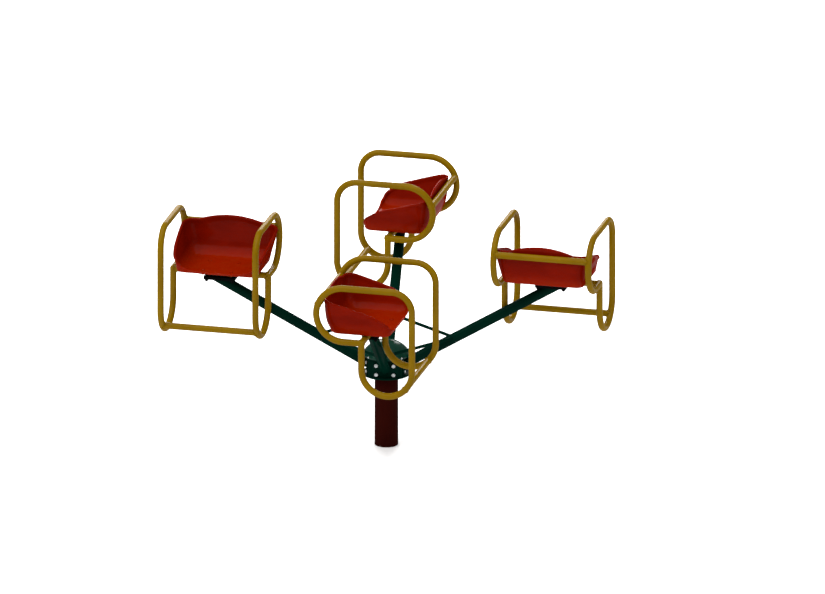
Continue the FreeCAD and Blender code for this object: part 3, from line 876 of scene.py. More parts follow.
# ------------------------------------------------------------------------------------------ places
@dataclass(frozen=True)
class Layout:
    """The sizes and places that several sub-assemblies share.

    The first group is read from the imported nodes, and the bends and bolts below it follow the part's drawing.
    """

    tube: float
    inner_x: float
    outer_x: float
    seat_y: float
    rail_top: float
    loop_foot: float
    front: float
    cap_top: float
    disc_z: float
    box_z: float
    box_top: float
    plate_top: float
    head_z: float
    seat_plate_z: float
    seat_z: float
    arm_head: Vector
    foot_lobe: float = 0.126
    back_lobe: float = 0.136
    rail_corner: float = 0.100
    arm_root_z: float = 0.4123
    flange_face: float = 0.090
    box_face: float = 0.082

    @staticmethod
    def read(nodes: dict[str, bpy.types.Object]) -> Layout:
        """Reads the first station and the hub.

        Args:
            nodes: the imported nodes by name.

        Returns:
            The layout.
        """
        inner_low, inner_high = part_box("side_loop_inner_1")
        outer_low, outer_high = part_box("side_loop_outer_1")
        tube = (inner_high.x - inner_low.x) / 2
        seat_y = (inner_low.y + inner_high.y) / 2
        plates_low, plates_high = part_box("mount_plates")
        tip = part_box("arm_1")[1].z
        ring = [vert.co for vert in nodes["arm_1"].data.vertices if vert.co.z > tip - 1e-5]
        middle = [(min(co[i] for co in ring) + max(co[i] for co in ring)) / 2 for i in range(2)]
        return Layout(
            tube=tube,
            inner_x=(inner_low.x + inner_high.x) / 2,
            outer_x=(outer_low.x + outer_high.x) / 2,
            seat_y=seat_y,
            rail_top=inner_high.z - tube,
            loop_foot=inner_low.z + tube,
            front=inner_high.y - tube - seat_y,
            cap_top=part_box("post_cap_plate")[1].z,
            disc_z=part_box("hub_lower_disc")[0].z,
            box_z=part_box("hub_box")[0].z,
            box_top=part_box("hub_box")[1].z,
            plate_top=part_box("bearing_housing")[1].z + HOUSING_DROP,
            head_z=plates_low.z,
            seat_plate_z=(plates_low.z + plates_high.z) / 2,
            seat_z=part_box("seat_frame_1")[1].z,
            arm_head=Vector((*middle, tip)),
        )

    @property
    def seat_x(self) -> float:
        """The middle of a seat, outwards from the spin axis."""
        return (self.inner_x + self.outer_x) / 2

    @property
    def arm_yaw(self) -> float:
        """Degrees from a station's X axis to its arm."""
        return math.degrees(math.atan2(self.arm_head.y, self.arm_head.x))

    @property
    def arm_ends(self) -> tuple[Vector, Vector]:
        """The arm's axis from its root to its head, in the arm's own frame."""
        reach = math.hypot(self.arm_head.x, self.arm_head.y)
        return Vector((self.flange_face, 0, self.arm_root_z)), Vector((reach, 0, self.head_z))

    @property
    def foot_centre(self) -> tuple[float, float]:
        """The foot lobe's centre: forward of the seat's middle, and height."""
        return self.front - self.foot_lobe, self.loop_foot + self.foot_lobe

    @property
    def back_centre(self) -> tuple[float, float]:
        """The back lobe's centre: forward of the seat's middle, and height."""
        return self.back_lobe - self.front, self.rail_top - self.back_lobe

    @property
    def corner(self) -> tuple[float, float]:
        """The mitred corner under the seat: forward of the seat's middle, and height."""
        return self.foot_centre[0] - self.foot_lobe, self.back_centre[1] - self.back_lobe

    def at(self, x: float, forward: float, height: float) -> Vector:
        """A place in the first station."""
        return Vector((x, self.seat_y + forward, height))


class Workshop:
    """Turns finished meshes into pieces: each gets its finish, its body and the node that it stands for."""

    def __init__(self, paint: Paintbox, nodes: dict[str, bpy.types.Object]) -> None:
        """Keeps what every sub-assembly needs.

        Args:
            paint: the finishes.
            nodes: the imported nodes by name.
        """
        self.paint = paint
        self.nodes = nodes

    def _piece(self, mesh: bpy.types.Mesh, node: str, slot: Slot, body: Body = Body.ROTOR) -> None:
        """Shows one mesh in place of one node.

        Args:
            mesh: the finished mesh; the piece takes its name.
            node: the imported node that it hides.
            slot: its finish.
            body: what it rides on.
        """
        shown = bpy.data.objects.new(mesh.name, mesh)
        bpy.context.scene.collection.objects.link(shown)
        self.paint.dress(shown, slot)
        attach(shown, body.value)
        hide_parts(node)
        LOG.info("%s: %d faces", mesh.name, len(mesh.polygons))

    def one(self, name: str, bm: BMesh, slot: Slot, body: Body = Body.ROTOR) -> None:
        """Shows one piece for the node of its name."""
        self._piece(as_mesh(name, bm), name, slot, body)

    def four(self, name: str, bm: BMesh, slot: Slot, yaw: float = 0.0,
             sharp_degrees: float = 40.0) -> None:
        """Shows a piece at each of the four stations, for four numbered nodes.

        Args:
            name: the pieces' name and the nodes', before its number.
            bm: the first station's mesh, which is freed.
            slot: the finish.
            yaw: a turn about the spin axis that comes first, in degrees.
            sharp_degrees: edges that turn by more than this stay sharp.
        """
        pattern = as_mesh(name, bm, sharp_degrees)
        for k in range(STATIONS):
            mesh, node = pattern.copy(), f"{name}_{k + 1}"
            mesh.name = node
            mesh.transform(turned(yaw + 360 * k / STATIONS))
            self._piece(mesh, node, slot)
        bpy.data.meshes.remove(pattern)

    def keep(self, slot: Slot, *names: str) -> None:
        """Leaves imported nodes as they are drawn, under one finish."""
        for name in names:
            self.paint.dress(self.nodes[name], slot)


# ------------------------------------------------------------------------------------------ sub-assemblies
@dataclass(frozen=True)
class GroundPost:
    """The maroon post that stands in the ground, with its welded cap plate and the bearings it carries."""

    layout: Layout
    wall: float = 0.004
    foot_edge: float = 0.0008
    top_drop: float = 0.002
    top_inset: float = 0.0015
    cap_bore: float = 0.0301
    cap_edge: float = 0.0016
    weld: float = 0.0021
    weld_inset: float = 0.0022

    def build(self, shop: Workshop) -> None:
        """Makes the post's pieces.

        Args:
            shop: where pieces are shown.
        """
        low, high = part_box("post_tube")
        radius, joint = high.x, high.z
        edge, bore = self.foot_edge, radius - self.wall
        tube = spun([(bore, low.z), (radius - edge, low.z), (radius, low.z + edge),
                     *((radius, joint * share) for share in (0.25, 0.5, 0.75)),
                     (radius, joint - self.top_drop), (radius - self.top_inset, joint), (bore, joint)],
                    ROUND, closed=True)
        shop.one("post_tube", tube, Slot.POST_MAROON, Body.BASE)
        cap = washer_ring(self.cap_bore, radius, joint, self.layout.cap_top, self.cap_edge, ROUND)
        bead = WeldBead(radius - self.weld_inset, self.weld)
        weld = bead.around(Vector((0, 0, joint)), Z_AXIS, lambda p: 0.0, 300)
        shop.one("post_cap_plate", merged(cap, weld), Slot.POST_MAROON, Body.BASE)
        shop.keep(Slot.STEEL, "spindle", "spindle_washer", "spindle_nut", "bearing_spacer",
                  *[f"{side}_bearing_{part}" for side in ("lower", "upper")
                    for part in ("inner_ring", "outer_ring", "balls", "cage")])


@dataclass(frozen=True)
class Hub:
    """The turning hub: a square box between two discs, under a pressed dome."""

    layout: Layout
    box_wall: float = 0.008
    box_corner: float = 0.006
    disc_bore: float = 0.047
    disc_edge: float = 0.0013
    seam_lift: float = 0.0008
    seam_gap: float = 0.004
    top_bore: float = 0.044
    top_edge: float = 0.0012
    rim_width: float = 0.006
    rim_edge: float = 0.0006
    dome_thick: float = 0.002
    dome_fold: float = 0.0028
    dome_steps: int = 40
    dome_round: int = 160
    screw_radius: float = 0.005
    screw_head: float = 0.0026
    screw_length: float = 0.008
    screw_up: float = 0.003

    def build(self, shop: Workshop) -> None:
        """Makes the hub's pieces.

        Args:
            shop: where pieces are shown.
        """
        place = self.layout
        yaw = turned(place.arm_yaw)
        disc_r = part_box("hub_lower_disc")[1].x
        disc = washer_ring(self.disc_bore, disc_r, place.disc_z, place.box_z, self.disc_edge, ROUND)
        shop.one("hub_lower_disc", disc, Slot.HUB_GREEN)

        half = place.box_face
        box = cuboid(Vector((-half, -half, place.box_z)), Vector((half, half, place.box_top)))
        level = [face for face in box.faces if abs(face.normal.z) > 0.5]
        bmesh.ops.delete(box, geom=level, context="FACES_ONLY")
        upright = [edge for edge in box.edges if abs(edge.verts[0].co.z - edge.verts[1].co.z) > 0.01]
        bevelled(box, upright, self.box_corner, 5)
        bmesh.ops.recalc_face_normals(box, faces=box.faces)
        bmesh.ops.solidify(box, geom=list(box.faces), thickness=self.box_wall)
        reach = half - self.seam_gap
        for z in (place.box_z + self.seam_lift, place.box_top - self.seam_lift):
            for turn in stations():
                seam = WeldBead(half).along(Vector((half, -reach, z)), Vector((half, reach, z)))
                box = merged(box, placed(seam, turn))
        shop.one("hub_box", placed(box, yaw), Slot.HUB_GREEN)

        top_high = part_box("hub_top_plate")[1]
        top_r = top_high.x
        top = washer_ring(self.top_bore, top_r, place.box_top, place.plate_top, self.top_edge, ROUND)
        rim = washer_ring(top_r - self.rim_width, top_r, place.plate_top, top_high.z, self.rim_edge, ROUND)
        shop.one("hub_top_plate", merged(top, rim), Slot.HUB_GREEN)
        self._dome(shop)
        shop.keep(Slot.SEAL, "dust_seal")
        shop.keep(Slot.HUB_GREEN, "bearing_housing")

    def _dome(self, shop: Workshop) -> None:
        """Makes the pressed dome and the screws that hold its skirt."""
        low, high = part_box("dome_cover")
        outer, thick = high.x, self.dome_thick
        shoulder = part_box("hub_top_plate")[1].z
        rise = high.z - shoulder
        crown = (outer ** 2 + rise ** 2) / (2 * rise)
        centre = high.z - crown
        spread = math.asin(outer / crown)
        angles = [spread * (1 - i / self.dome_steps) for i in range(1, self.dome_steps)]

        def cap(radius: float) -> list[tuple[float, float]]:
            """The curve of one of the dome's faces, from its edge up."""
            return [(radius * math.sin(angle), centre + radius * math.cos(angle)) for angle in angles]

        profile = [(outer - thick, low.z), (outer - thick * 0.3, low.z), (outer, low.z + thick * 0.4),
                   (outer, shoulder - self.dome_fold), (outer - 0.0006, shoulder - 0.0002), *cap(crown),
                   (0, high.z), (0, high.z - thick), *reversed(cap(crown - thick)),
                   (outer - thick, shoulder - thick)]
        shop.one("dome_cover", spun(profile, self.dome_round, closed=True), Slot.DOME_GREEN)

        head = M5.dome_bolt(self.screw_radius, self.screw_head, self.screw_length)
        height = self.layout.plate_top + self.screw_up
        spots = [turned(self.layout.arm_yaw + 45 + 90 * k) @ facing(Vector((outer, 0, height)), X_AXIS)
                 for k in range(STATIONS)]
        shop.one("dome_screws", copies(head, spots), Slot.ZINC)


@dataclass(frozen=True)
class Arms:
    """The four sloping arms with their flanges, mounting plates, bolts and the tie rods between them."""

    layout: Layout
    radius: float = 0.025
    tie_radius: float = 0.008
    tie_reach: float = 0.332
    flange_width: float = 0.130
    bolt_side: float = 0.042
    bolt_up: float = 0.023
    bolt_z: float = 0.404
    plate_length: float = 0.155
    plate_width: float = 0.080
    plate_thick: float = 0.008
    plate_edge: float = 0.0011
    plate_corner: float = 0.008
    flange_edge: float = 0.0012
    flange_corner: float = 0.006
    head_bolt_out: float = 0.064
    head_bolt_side: float = 0.028
    flange_gap: float = 0.001
    flange_grip: float = 0.029
    arm_weld: float = 0.0038
    tie_weld: float = 0.0024

    def build(self, shop: Workshop) -> None:
        """Makes the arms' pieces.

        Args:
            shop: where pieces are shown.
        """
        place = self.layout
        root, head = place.arm_ends
        line = (head - root).normalized()
        up, down = plane_reach(head, Z_AXIS, line), plane_reach(root, X_AXIS, -line)
        arm = TubeRun(self.radius, (root + head) / 2, line, 48).trim_start(down, -line).to(up, line).capped()
        half = self.flange_width / 2
        flange = plate(Vector((place.box_face, -half, place.box_z + self.flange_gap)),
                       Vector((place.flange_face, half, place.box_top - self.flange_gap)),
                       self.flange_edge, self.flange_corner)
        bead = WeldBead(self.radius, self.arm_weld)
        welds = (bead.around(root, -line, down, 150), bead.around(head, line, up, 150))
        shop.four("arm", merged(arm, flange, *welds), Slot.HUB_GREEN, place.arm_yaw)

        self._tie_rods(shop, root, line)
        self._plates(shop)
        self._bolts(shop)

    def _tie_rods(self, shop: Workshop, root: Vector, line: Vector) -> None:
        """Makes the rods that brace each arm to the next."""
        z = root.z + (self.tie_reach - root.x) * line.z / line.x
        start = Vector((self.tie_reach, 0, z))
        quarter = turned(360 / STATIONS)
        end = quarter @ start
        heading = (end - start).normalized()
        back = tube_reach(root, line, self.radius, -heading)
        ahead = tube_reach(quarter @ root, quarter @ line, self.radius, heading)
        middle = (start + end) / 2
        run = TubeRun(self.tie_radius, middle, heading, 24)
        rod = run.trim_start(back, -heading).to(ahead, heading).capped()
        bead = WeldBead(self.tie_radius, self.tie_weld)
        welds = (bead.around(middle, -heading, back, 64), bead.around(middle, heading, ahead, 64))
        shop.four("tie_rod", merged(rod, *welds), Slot.HUB_GREEN, self.layout.arm_yaw)

    def _plates(self, shop: Workshop) -> None:
        """Makes the pairs of black plates between the arms and the seats."""
        place = self.layout
        middle = place.at(place.seat_x, place.corner[0], 0)
        reach = Vector((self.plate_length / 2, self.plate_width / 2, 0))
        pair = [plate(middle - reach + Z_AXIS * z, middle + reach + Z_AXIS * (z + self.plate_thick),
                      self.plate_edge, self.plate_corner) for z in (place.head_z, place.seat_plate_z)]
        shop.one("mount_plates", copies(merged(*pair), stations()), Slot.PLATE_BLACK)

    def _bolts(self, shop: Workshop) -> None:
        """Makes the hexagon bolts at both ends of the arms."""
        place = self.layout
        dice = random.Random(11)
        flange = [turned(place.arm_yaw) @ facing(Vector((place.flange_face, side * self.bolt_side,
                                                         self.bolt_z + up * self.bolt_up)), X_AXIS)
                  for side in (-1, 1) for up in (-1, 1)]
        spots = [station @ spot @ tossed(dice) for station in stations() for spot in flange]
        shop.one("arm_flange_bolts", copies(M12.hex_bolt(self.flange_grip), spots), Slot.ZINC)
        shop.keep(Slot.ZINC, "arm_flange_nuts")

        top = place.seat_plate_z + self.plate_thick
        points = [place.at(place.seat_x + out * self.head_bolt_out,
                           place.corner[0] + side * self.head_bolt_side, 0)
                  for out in (-1, 1) for side in (-1, 1)]
        over = [station @ Matrix.Translation(point + Z_AXIS * top) @ tossed(dice)
                for station in stations() for point in points]
        under = [station @ facing(point + Z_AXIS * place.head_z, -Z_AXIS) @ tossed(dice)
                 for station in stations() for point in points]
        bolt = M10.hex_bolt(M10.grip(2 * self.plate_thick))
        shop.one("arm_head_bolts", copies(bolt, over), Slot.PLATE_BLACK)
        shop.one("arm_head_nuts", copies(M10.nut(), under), Slot.PLATE_BLACK)


@dataclass(frozen=True)
class SideFrames:
    """The bent tube loops on both sides of each seat, and the bars welded between them."""

    layout: Layout
    foot_angle: float = 44.0
    back_angle: float = 19.0
    strap_out: float = 0.070
    strap_width: float = 0.030
    strap_thick: float = 0.006
    strap_edge: float = 0.0008
    strap_corner: float = 0.004
    strap_front: float = 0.090
    strap_back: float = 0.110
    strap_weld: float = 0.0034
    weld_side: float = 0.0062
    weld_drop: float = 0.0022
    plate_weld_half: float = 0.062
    strap_weld_half: float = 0.013

    def loop(self, x: float) -> BMesh:
        """One side loop, as a single closed tube.

        Args:
            x: the loop's plane.

        Returns:
            The loop's mesh.
        """
        place = self.layout
        foot_u, foot_v = place.foot_centre
        back_u, back_v = place.back_centre
        corner_u, corner_v = place.corner
        bend_u, top = place.front - place.rail_corner, place.rail_top
        corner = place.at(x, corner_u, corner_v)
        mitre = (Z_AXIS - Y_AXIS).normalized()
        run = TubeRun(place.tube, place.at(x, back_u, top), Y_AXIS)
        run.to(plane_reach(place.at(x, bend_u, top), Y_AXIS, Y_AXIS), Y_AXIS)
        run.bend(place.at(x, bend_u, top - place.rail_corner), X_AXIS, -90, 18)
        run.to(plane_reach(place.at(x, 0, foot_v), Z_AXIS, -Z_AXIS), -Z_AXIS)
        run.bend(place.at(x, foot_u, foot_v), X_AXIS, -180, 40)
        run.to(plane_reach(corner, mitre, Z_AXIS), Z_AXIS)
        run.to(plane_reach(place.at(x, back_u, 0), Y_AXIS, -Y_AXIS), -Y_AXIS)
        run.bend(place.at(x, back_u, back_v), X_AXIS, -180, 44)
        return run.joined()

    def corner_reach(self, x: float, along: Vector) -> Reach:
        """How far a point travels sideways to meet a loop at its mitred corner."""
        place = self.layout
        corner = place.at(x, *place.corner)

        def reach(p: Vector) -> float:
            """The distance to the leg below the mitre, or to the bar above it."""
            gap = p - corner
            across = gap.y if gap.z < gap.y else gap.z
            depth = math.sqrt(max(0.0, place.tube ** 2 - across ** 2))
            return (corner - p).dot(along) - depth
        return reach

    def bar(self, forward: float, height: float, reaches: Sequence[Reach]) -> BMesh:
        """A tube welded between the two loops of a seat.

        Args:
            forward: its place in front of the seat's middle.
            height: its place over the ground.
            reaches: how its ends meet the inner and the outer loop.

        Returns:
            The bar with its two welds.
        """
        place = self.layout
        middle = place.at(place.seat_x, forward, height)
        run, bead = TubeRun(place.tube, middle, X_AXIS), WeldBead(place.tube)
        tube = run.trim_start(reaches[0], -X_AXIS).to(reaches[1], X_AXIS).capped()
        return merged(tube, bead.around(middle, -X_AXIS, reaches[0]), bead.around(middle, X_AXIS, reaches[1]))

    def lobe_bar(self, centre: tuple[float, float], radius: float, degrees: float) -> BMesh:
        """A bar that meets both loops on one of their lobes.

        Args:
            centre: the lobe's centre, forward and height.
            radius: the lobe's centreline radius.
            degrees: where the bar is, from the way forward towards up.

        Returns:
            The bar with its welds.
        """
        place = self.layout
        angle = math.radians(degrees)
        forward, height = centre[0] + radius * math.cos(angle), centre[1] + radius * math.sin(angle)
        tangent = Vector((0, -math.sin(angle), math.cos(angle)))
        reaches = [tube_reach(place.at(x, forward, height), tangent, place.tube, along)
                   for x, along in ((place.inner_x, -X_AXIS), (place.outer_x, X_AXIS))]
        return self.bar(forward, height, reaches)

    def build(self, shop: Workshop) -> None:
        """Makes the loops, bars and straps.

        Args:
            shop: where pieces are shown.
        """
        place = self.layout
        for side, x in (("inner", place.inner_x), ("outer", place.outer_x)):
            shop.four(f"side_loop_{side}", self.loop(x), Slot.FRAME_YELLOW)
        foot = self.lobe_bar(place.foot_centre, place.foot_lobe, -self.foot_angle)
        shop.four("foot_bar", foot, Slot.FRAME_YELLOW)
        back = self.lobe_bar(place.back_centre, place.back_lobe, 180 - self.back_angle)
        shop.four("back_bar", back, Slot.FRAME_YELLOW)

        reaches = [self.corner_reach(place.inner_x, -X_AXIS), self.corner_reach(place.outer_x, X_AXIS)]
        parts = [self.bar(*place.corner, reaches)]
        under, over = place.corner[1] - place.tube, place.seat_z - self.strap_thick
        bead = WeldBead(place.tube, self.strap_weld)

        def seam(x: float, side: int, height: float, half: float) -> BMesh:
            """A weld on one side of the cross tube, outwards through a place on it."""
            spot = place.at(x, place.corner[0] + side * self.weld_side, height)
            return bead.along(spot - X_AXIS * half, spot + X_AXIS * half)

        for side in (-1, 1):
            parts.append(seam(place.seat_x, side, under + self.weld_drop, self.plate_weld_half))
            x = place.seat_x + side * self.strap_out
            parts.append(plate(place.at(x - self.strap_width / 2, -self.strap_back, over),
                               place.at(x + self.strap_width / 2, self.strap_front, place.seat_z),
                               self.strap_edge, self.strap_corner))
            parts += [seam(x, end, over - self.weld_drop, self.strap_weld_half) for end in (-1, 1)]
        shop.four("seat_frame", merged(*parts), Slot.FRAME_YELLOW)


class Skin(Enum):
    """The two surfaces of the moulded shell."""

    OUTSIDE = "outside"
    INSIDE = "inside"


@dataclass(frozen=True)
class BucketSeat:
    """A moulded bucket seat: a flat pan, sides that rise to the back, a crest and a low rolled front lip."""

    layout: Layout
    shift: float = -0.008
    wall: float = 0.006
    cells: int = 96
    pan_share: float = 0.40
    rim_share: float = 0.93
    bottom_round: float = 0.014
    fillet_out: float = 0.042
    fillet_up: float = 0.046
    flare: float = 0.0024
    flare_height: float = 0.016
    bead: float = 0.005
    bead_height: float = 0.022
    bolt_out: float = 0.070
    bolt_front: float = 0.060
    bolt_back: float = 0.085
    bolt_head: tuple[float, float] = (0.010, 0.005)
    sections: tuple[tuple[float, float, float, float, float], ...] = (
        (0.000, 0.164, 0.102, 0.188, 0.030),
        (0.014, 0.184, 0.116, 0.203, 0.038),
        (0.060, 0.204, 0.123, 0.212, 0.044),
        (0.140, 0.211, 0.128, 0.234, 0.054),
        (0.225, 0.213, 0.133, 0.246, 0.066),
    )
    wing: tuple[tuple[float, float], ...] = (
        (-0.260, 0.180), (-0.190, 0.174), (-0.120, 0.157), (-0.040, 0.134), (0.030, 0.112), (0.084, 0.082),
        (0.124, 0.047), (0.150, 0.022),
    )
    crest_edge: float = 0.178
    crest_top: float = 0.206
    crest_half: float = 0.158
    crest_span: tuple[float, float] = (-0.120, -0.175)
    lip_edge: float = 0.047
    lip_dip: float = 0.013
    lip_half: float = 0.190
    lip_span: tuple[float, float] = (0.055, 0.085)
    lip_climb: float = 2.2
    lip_blend: float = 0.012
    flare_span: tuple[float, float] = (-0.215, -0.12)
    flare_least: float = 0.0006
    bead_span: tuple[float, float] = (0.018, 0.050)
    wall_crowding: float = 1.75
    least_corner: float = 0.004

    def outline(self, height: float) -> tuple[float, float, float, float]:
        """The outside's back, front, half width and corner radius at a height over the straps."""
        if height < self.bottom_round:
            share = math.sqrt(max(0.0, 1 - (1 - height / self.bottom_round) ** 2))
            first, second = self.sections[0], self.sections[1]
            return tuple(a + (b - a) * share for a, b in zip(first[1:], second[1:]))
        return tuple(smooth_through([(row[0], row[i]) for row in self.sections[1:]], height)
                     for i in range(1, 5))

    def point(self, a: float, b: float, height: float, inset: float,
              scale: float = 1.0) -> tuple[float, float]:
        """A point on a level rounded rectangle.

        Args:
            a: sideways, on the edge of a square from -1 to 1.
            b: forward, on the edge of the same square.
            height: over the straps.
            inset: how far the outline is drawn in.
            scale: shrinks the outline towards its middle.

        Returns:
            Sideways and forward places from the seat's middle.
        """
        back, front, half, corner = self.outline(height)
        reach_x, reach_y = half - inset, (back + front) / 2 - inset
        middle = (front - back) / 2
        round_r = max(self.least_corner, corner - inset)
        bend = round_r * math.pi / 4

        def side(t: float, length: float) -> tuple[float, float]:
            """How far along a side a point is, and how far the corner has drawn it in."""
            straight = length - round_r
            share = straight / (straight + bend)
            if abs(t) <= share:
                return t / share * straight, 0.0
            angle = (abs(t) - share) / (1 - share) * math.pi / 4
            return math.copysign(straight + round_r * math.sin(angle), t), round_r * (1 - math.cos(angle))
        if abs(a) >= abs(b):
            y, drawn = side(b, reach_y)
            x = math.copysign(reach_x - drawn, a)
        else:
            x, drawn = side(a, reach_x)
            y = math.copysign(reach_y - drawn, b)
        return x * scale, y * scale + middle

    def rim_height(self, x: float, y: float) -> float:
        """The rim's height over the straps at a place on it."""
        height = smooth_through(self.wing, y)
        crest = self.crest_edge + (self.crest_top - self.crest_edge) * (1 - (x / self.crest_half) ** 2)
        at_back = ease(*self.crest_span, y)
        height = height + max(0.0, crest - height) * at_back
        dip = self.lip_edge + (self.lip_dip - self.lip_edge) * (1 - min(1.0, abs(x) / self.lip_half) ** 4)
        dip += max(0.0, abs(x) - self.lip_half) * self.lip_climb
        at_front = ease(*self.lip_span, y)
        return height + (soft_min(height, dip, self.lip_blend) - height) * at_front

    def settle(self, a: float, b: float) -> float:
        """The rim's height in one direction, found by walking up the wall to it."""
        height = 0.1
        for _ in range(24):
            height += (self.rim_height(*self.point(a, b, height, self.wall / 2)) - height) * 0.5
        return height

    def place(self, skin: Skin, a: float, b: float, ring: float, rim: float) -> Vector:
        """Where one vertex of the shell goes.

        Args:
            skin: outside or inside.
            a: sideways direction, on the edge of a square.
            b: forward direction, on the edge of the same square.
            ring: from 0 in the pan's middle to 1 on top of the rim.
            rim: the rim's height in that direction.

        Returns:
            The vertex, from the seat's middle at the straps' top.
        """
        flare = self.flare * ease(*self.flare_span, self.point(a, b, rim, 0.0)[1]) + self.flare_least
        bead = self.bead * ease(*self.bead_span, rim)
        lip = (self.wall + flare + bead) / 2
        wall_top = rim - lip
        floor = 0.0 if skin is Skin.OUTSIDE else self.wall
        fillet_up = min(self.fillet_up, (wall_top - floor) * 0.9)
        if ring < self.pan_share:
            inset = 0.0 if skin is Skin.OUTSIDE else self.wall + self.fillet_out
            level = 0.0 if skin is Skin.OUTSIDE else self.bottom_round
            x, y = self.point(a, b, level, inset, ring / self.pan_share)
            return Vector((x, y, floor))
        if ring < self.rim_share:
            t = (ring - self.pan_share) / (self.rim_share - self.pan_share)
            height = floor + (wall_top - floor) * t ** self.wall_crowding
            rolled = flare * ease(rim - self.flare_height, rim - lip, height)
            if skin is Skin.OUTSIDE:
                return Vector((*self.point(a, b, height, -rolled), height))
            q = min(1.0, (height - floor) / fillet_up)
            inset = self.wall + self.fillet_out * (1 - math.sqrt(q * (2 - q)))
            inset += bead * ease(rim - self.bead_height, rim - lip, height)
            return Vector((*self.point(a, b, max(height, self.bottom_round), inset), height))
        angle = (ring - self.rim_share) / (1 - self.rim_share) * math.pi / 2
        drawn = lip * (1 - math.cos(angle))
        inset = drawn - flare if skin is Skin.OUTSIDE else self.wall + bead - drawn
        x, y = self.point(a, b, max(rim, self.bottom_round), inset)
        return Vector((x, y, wall_top + lip * math.sin(angle)))

    def shell(self) -> BMesh:
        """The whole shell in the first station."""
        rims: dict[tuple[float, float], float] = {}
        middle = self.layout.at(self.layout.seat_x + self.shift, 0, self.layout.seat_z)
        skins = []
        for skin in Skin:
            bm = bmesh.new()
            bmesh.ops.create_grid(bm, x_segments=self.cells, y_segments=self.cells, size=1.0)
            for vert in bm.verts:
                ring = max(abs(vert.co.x), abs(vert.co.y))
                a, b = (vert.co.x / ring, vert.co.y / ring) if ring > 1e-6 else (1.0, 0.0)
                key = (round(a, 5), round(b, 5))
                if key not in rims:
                    rims[key] = self.settle(*key)
                vert.co = middle + self.place(skin, *key, min(1.0, ring), rims[key])
            skins.append(bm)
        return merged(*skins)

    def build(self, shop: Workshop) -> None:
        """Makes the shells and the bolts that hold them down.

        Args:
            shop: where pieces are shown.
        """
        shop.four("seat_shell", self.shell(), Slot.SEAT_RED, sharp_degrees=70.0)
        place = self.layout
        dice = random.Random(23)
        strap = SideFrames.strap_thick
        points = [place.at(place.seat_x + out * self.bolt_out, along, place.seat_z)
                  for out in (-1, 1) for along in (self.bolt_front, -self.bolt_back)]
        heads = [station @ Matrix.Translation(point + Z_AXIS * self.wall)
                 for station in stations() for point in points]
        bolts = copies(M10.dome_bolt(*self.bolt_head, M10.grip(self.wall + strap)), heads)
        shop.one("seat_bolts", bolts, Slot.SEAT_RED)
        under = [station @ facing(point - Z_AXIS * strap, -Z_AXIS) @ tossed(dice)
                 for station in stations() for point in points]
        shop.one("seat_nuts", copies(M10.nut(), under), Slot.PLATE_BLACK)


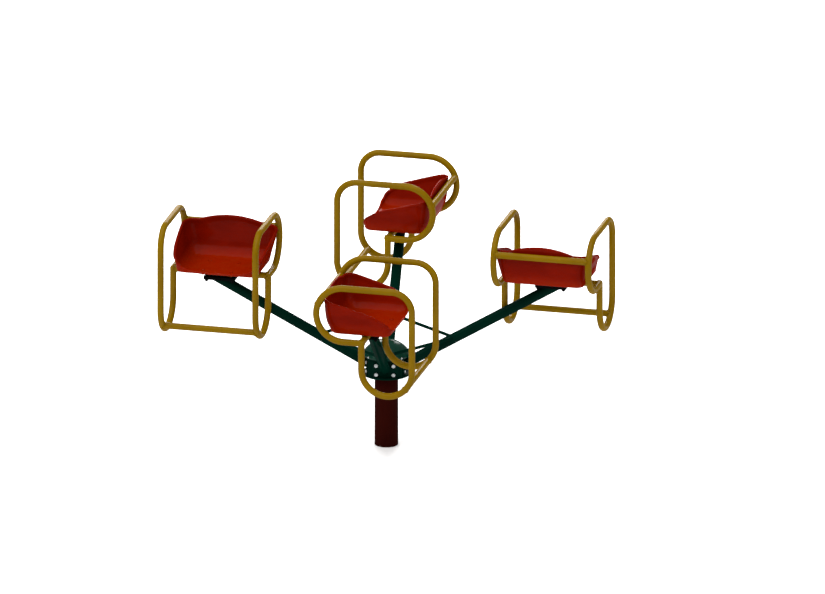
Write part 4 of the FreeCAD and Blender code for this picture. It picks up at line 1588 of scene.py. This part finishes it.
# ------------------------------------------------------------------------------------------ studio
@dataclass(frozen=True)
class Studio:
    """A pale floor, soft light from above and a long level view."""

    azimuth: float = 14.1
    elevation: float = 18.45
    spread: float = 3.986
    right: float = 0.1261
    up: float = 0.7092
    distance: float = 14.0
    clip_end: float = 200.0
    floor_size: float = 60.0
    sky: Triple = (1.0, 1.0, 1.0)
    sky_power: float = 0.55
    key_power: float = 2.9
    key_softness: float = 75.0
    key_place: Triple = (-1.0, -2.0, 6.0)
    glint_power: float = 12.0
    glint_size: float = 0.25
    glint_spots: tuple[Triple, ...] = ((3.9, -3.6, 2.3), (-4.4, -3.4, 2.3))
    rim_power: float = 560.0
    rim_size: tuple[float, float] = (5.0, 2.4)
    rim_place: Triple = (-1.6, 6.0, 3.4)
    aim: Triple = (0.0, 0.0, 0.8)

    def build(self) -> None:
        """Makes the floor, lights and camera."""
        self._floor()
        self._world()
        self._key()
        self._glint()
        self._rim()
        self._camera()
        bpy.context.scene.view_settings.view_transform = "Standard"

    def _floor(self) -> None:
        """Lays the floor, which isn't part of the object."""
        bm = bmesh.new()
        bmesh.ops.create_grid(bm, x_segments=1, y_segments=1, size=self.floor_size / 2)
        mesh = bpy.data.meshes.new("floor")
        bm.to_mesh(mesh)
        bm.free()
        floor = bpy.data.objects.new("floor", mesh)
        bpy.context.scene.collection.objects.link(floor)
        mesh.materials.append(FloorFinish().build())

    def _world(self) -> None:
        """Sets the plain sky."""
        world = bpy.data.worlds.new("studio")
        world.use_nodes = True
        background = world.node_tree.nodes["Background"]
        background.inputs["Color"].default_value = (*self.sky, 1.0)
        background.inputs["Strength"].default_value = self.sky_power
        bpy.context.scene.world = world

    def _hang(self, data: bpy.types.Light, place: Triple) -> None:
        """Puts a light in place, aimed at the seats and unseen itself."""
        light = bpy.data.objects.new(data.name, data)
        light.visible_camera = False
        light.location = place
        light.rotation_euler = (Vector(place) - Vector(self.aim)).to_track_quat("Z", "Y").to_euler()
        bpy.context.scene.collection.objects.link(light)

    def _key(self) -> None:
        """Hangs the wide, even light overhead."""
        data = bpy.data.lights.new("key_light", "SUN")
        data.energy, data.angle = self.key_power, math.radians(self.key_softness)
        self._hang(data, self.key_place)

    def _glint(self) -> None:
        """Hangs small low lamps at either side, which draw the glints in the seats' corners."""
        for side, spot in enumerate(self.glint_spots):
            data = bpy.data.lights.new(f"glint_light_{side}", "AREA")
            data.energy, data.size = self.glint_power, self.glint_size
            self._hang(data, spot)

    def _rim(self) -> None:
        """Hangs a broad low light behind, which brightens whatever faces up."""
        data = bpy.data.lights.new("rim_light", "AREA")
        data.shape = "RECTANGLE"
        data.energy, (data.size, data.size_y) = self.rim_power, self.rim_size
        self._hang(data, self.rim_place)

    def _camera(self) -> None:
        """Sets the camera a long way off, looking slightly down."""
        a, e = math.radians(self.azimuth), math.radians(self.elevation)
        back = Vector((math.sin(a) * math.cos(e), -math.cos(a) * math.cos(e), math.sin(e)))
        right = Vector((math.cos(a), math.sin(a), 0))
        data = bpy.data.cameras.new("camera")
        data.type, data.ortho_scale = "ORTHO", self.spread
        data.clip_end = self.clip_end
        camera = bpy.data.objects.new("camera", data)
        camera.rotation_euler = back.to_track_quat("Z", "Y").to_euler()
        camera.location = right * self.right + back.cross(right) * self.up + back * self.distance
        bpy.context.scene.collection.objects.link(camera)
        bpy.context.scene.camera = camera


def main() -> None:
    """Builds the object in order, then the studio."""
    logging.basicConfig(level=logging.INFO, format="%(name)s: %(message)s")
    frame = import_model()
    layout = Layout.read(frame["nodes"])
    shop = Workshop(Paintbox(), frame["nodes"])
    for part in (GroundPost(layout), Hub(layout), Arms(layout), SideFrames(layout), BucketSeat(layout)):
        part.build(shop)
    Studio().build()


if __name__ == "__main__":
    main()
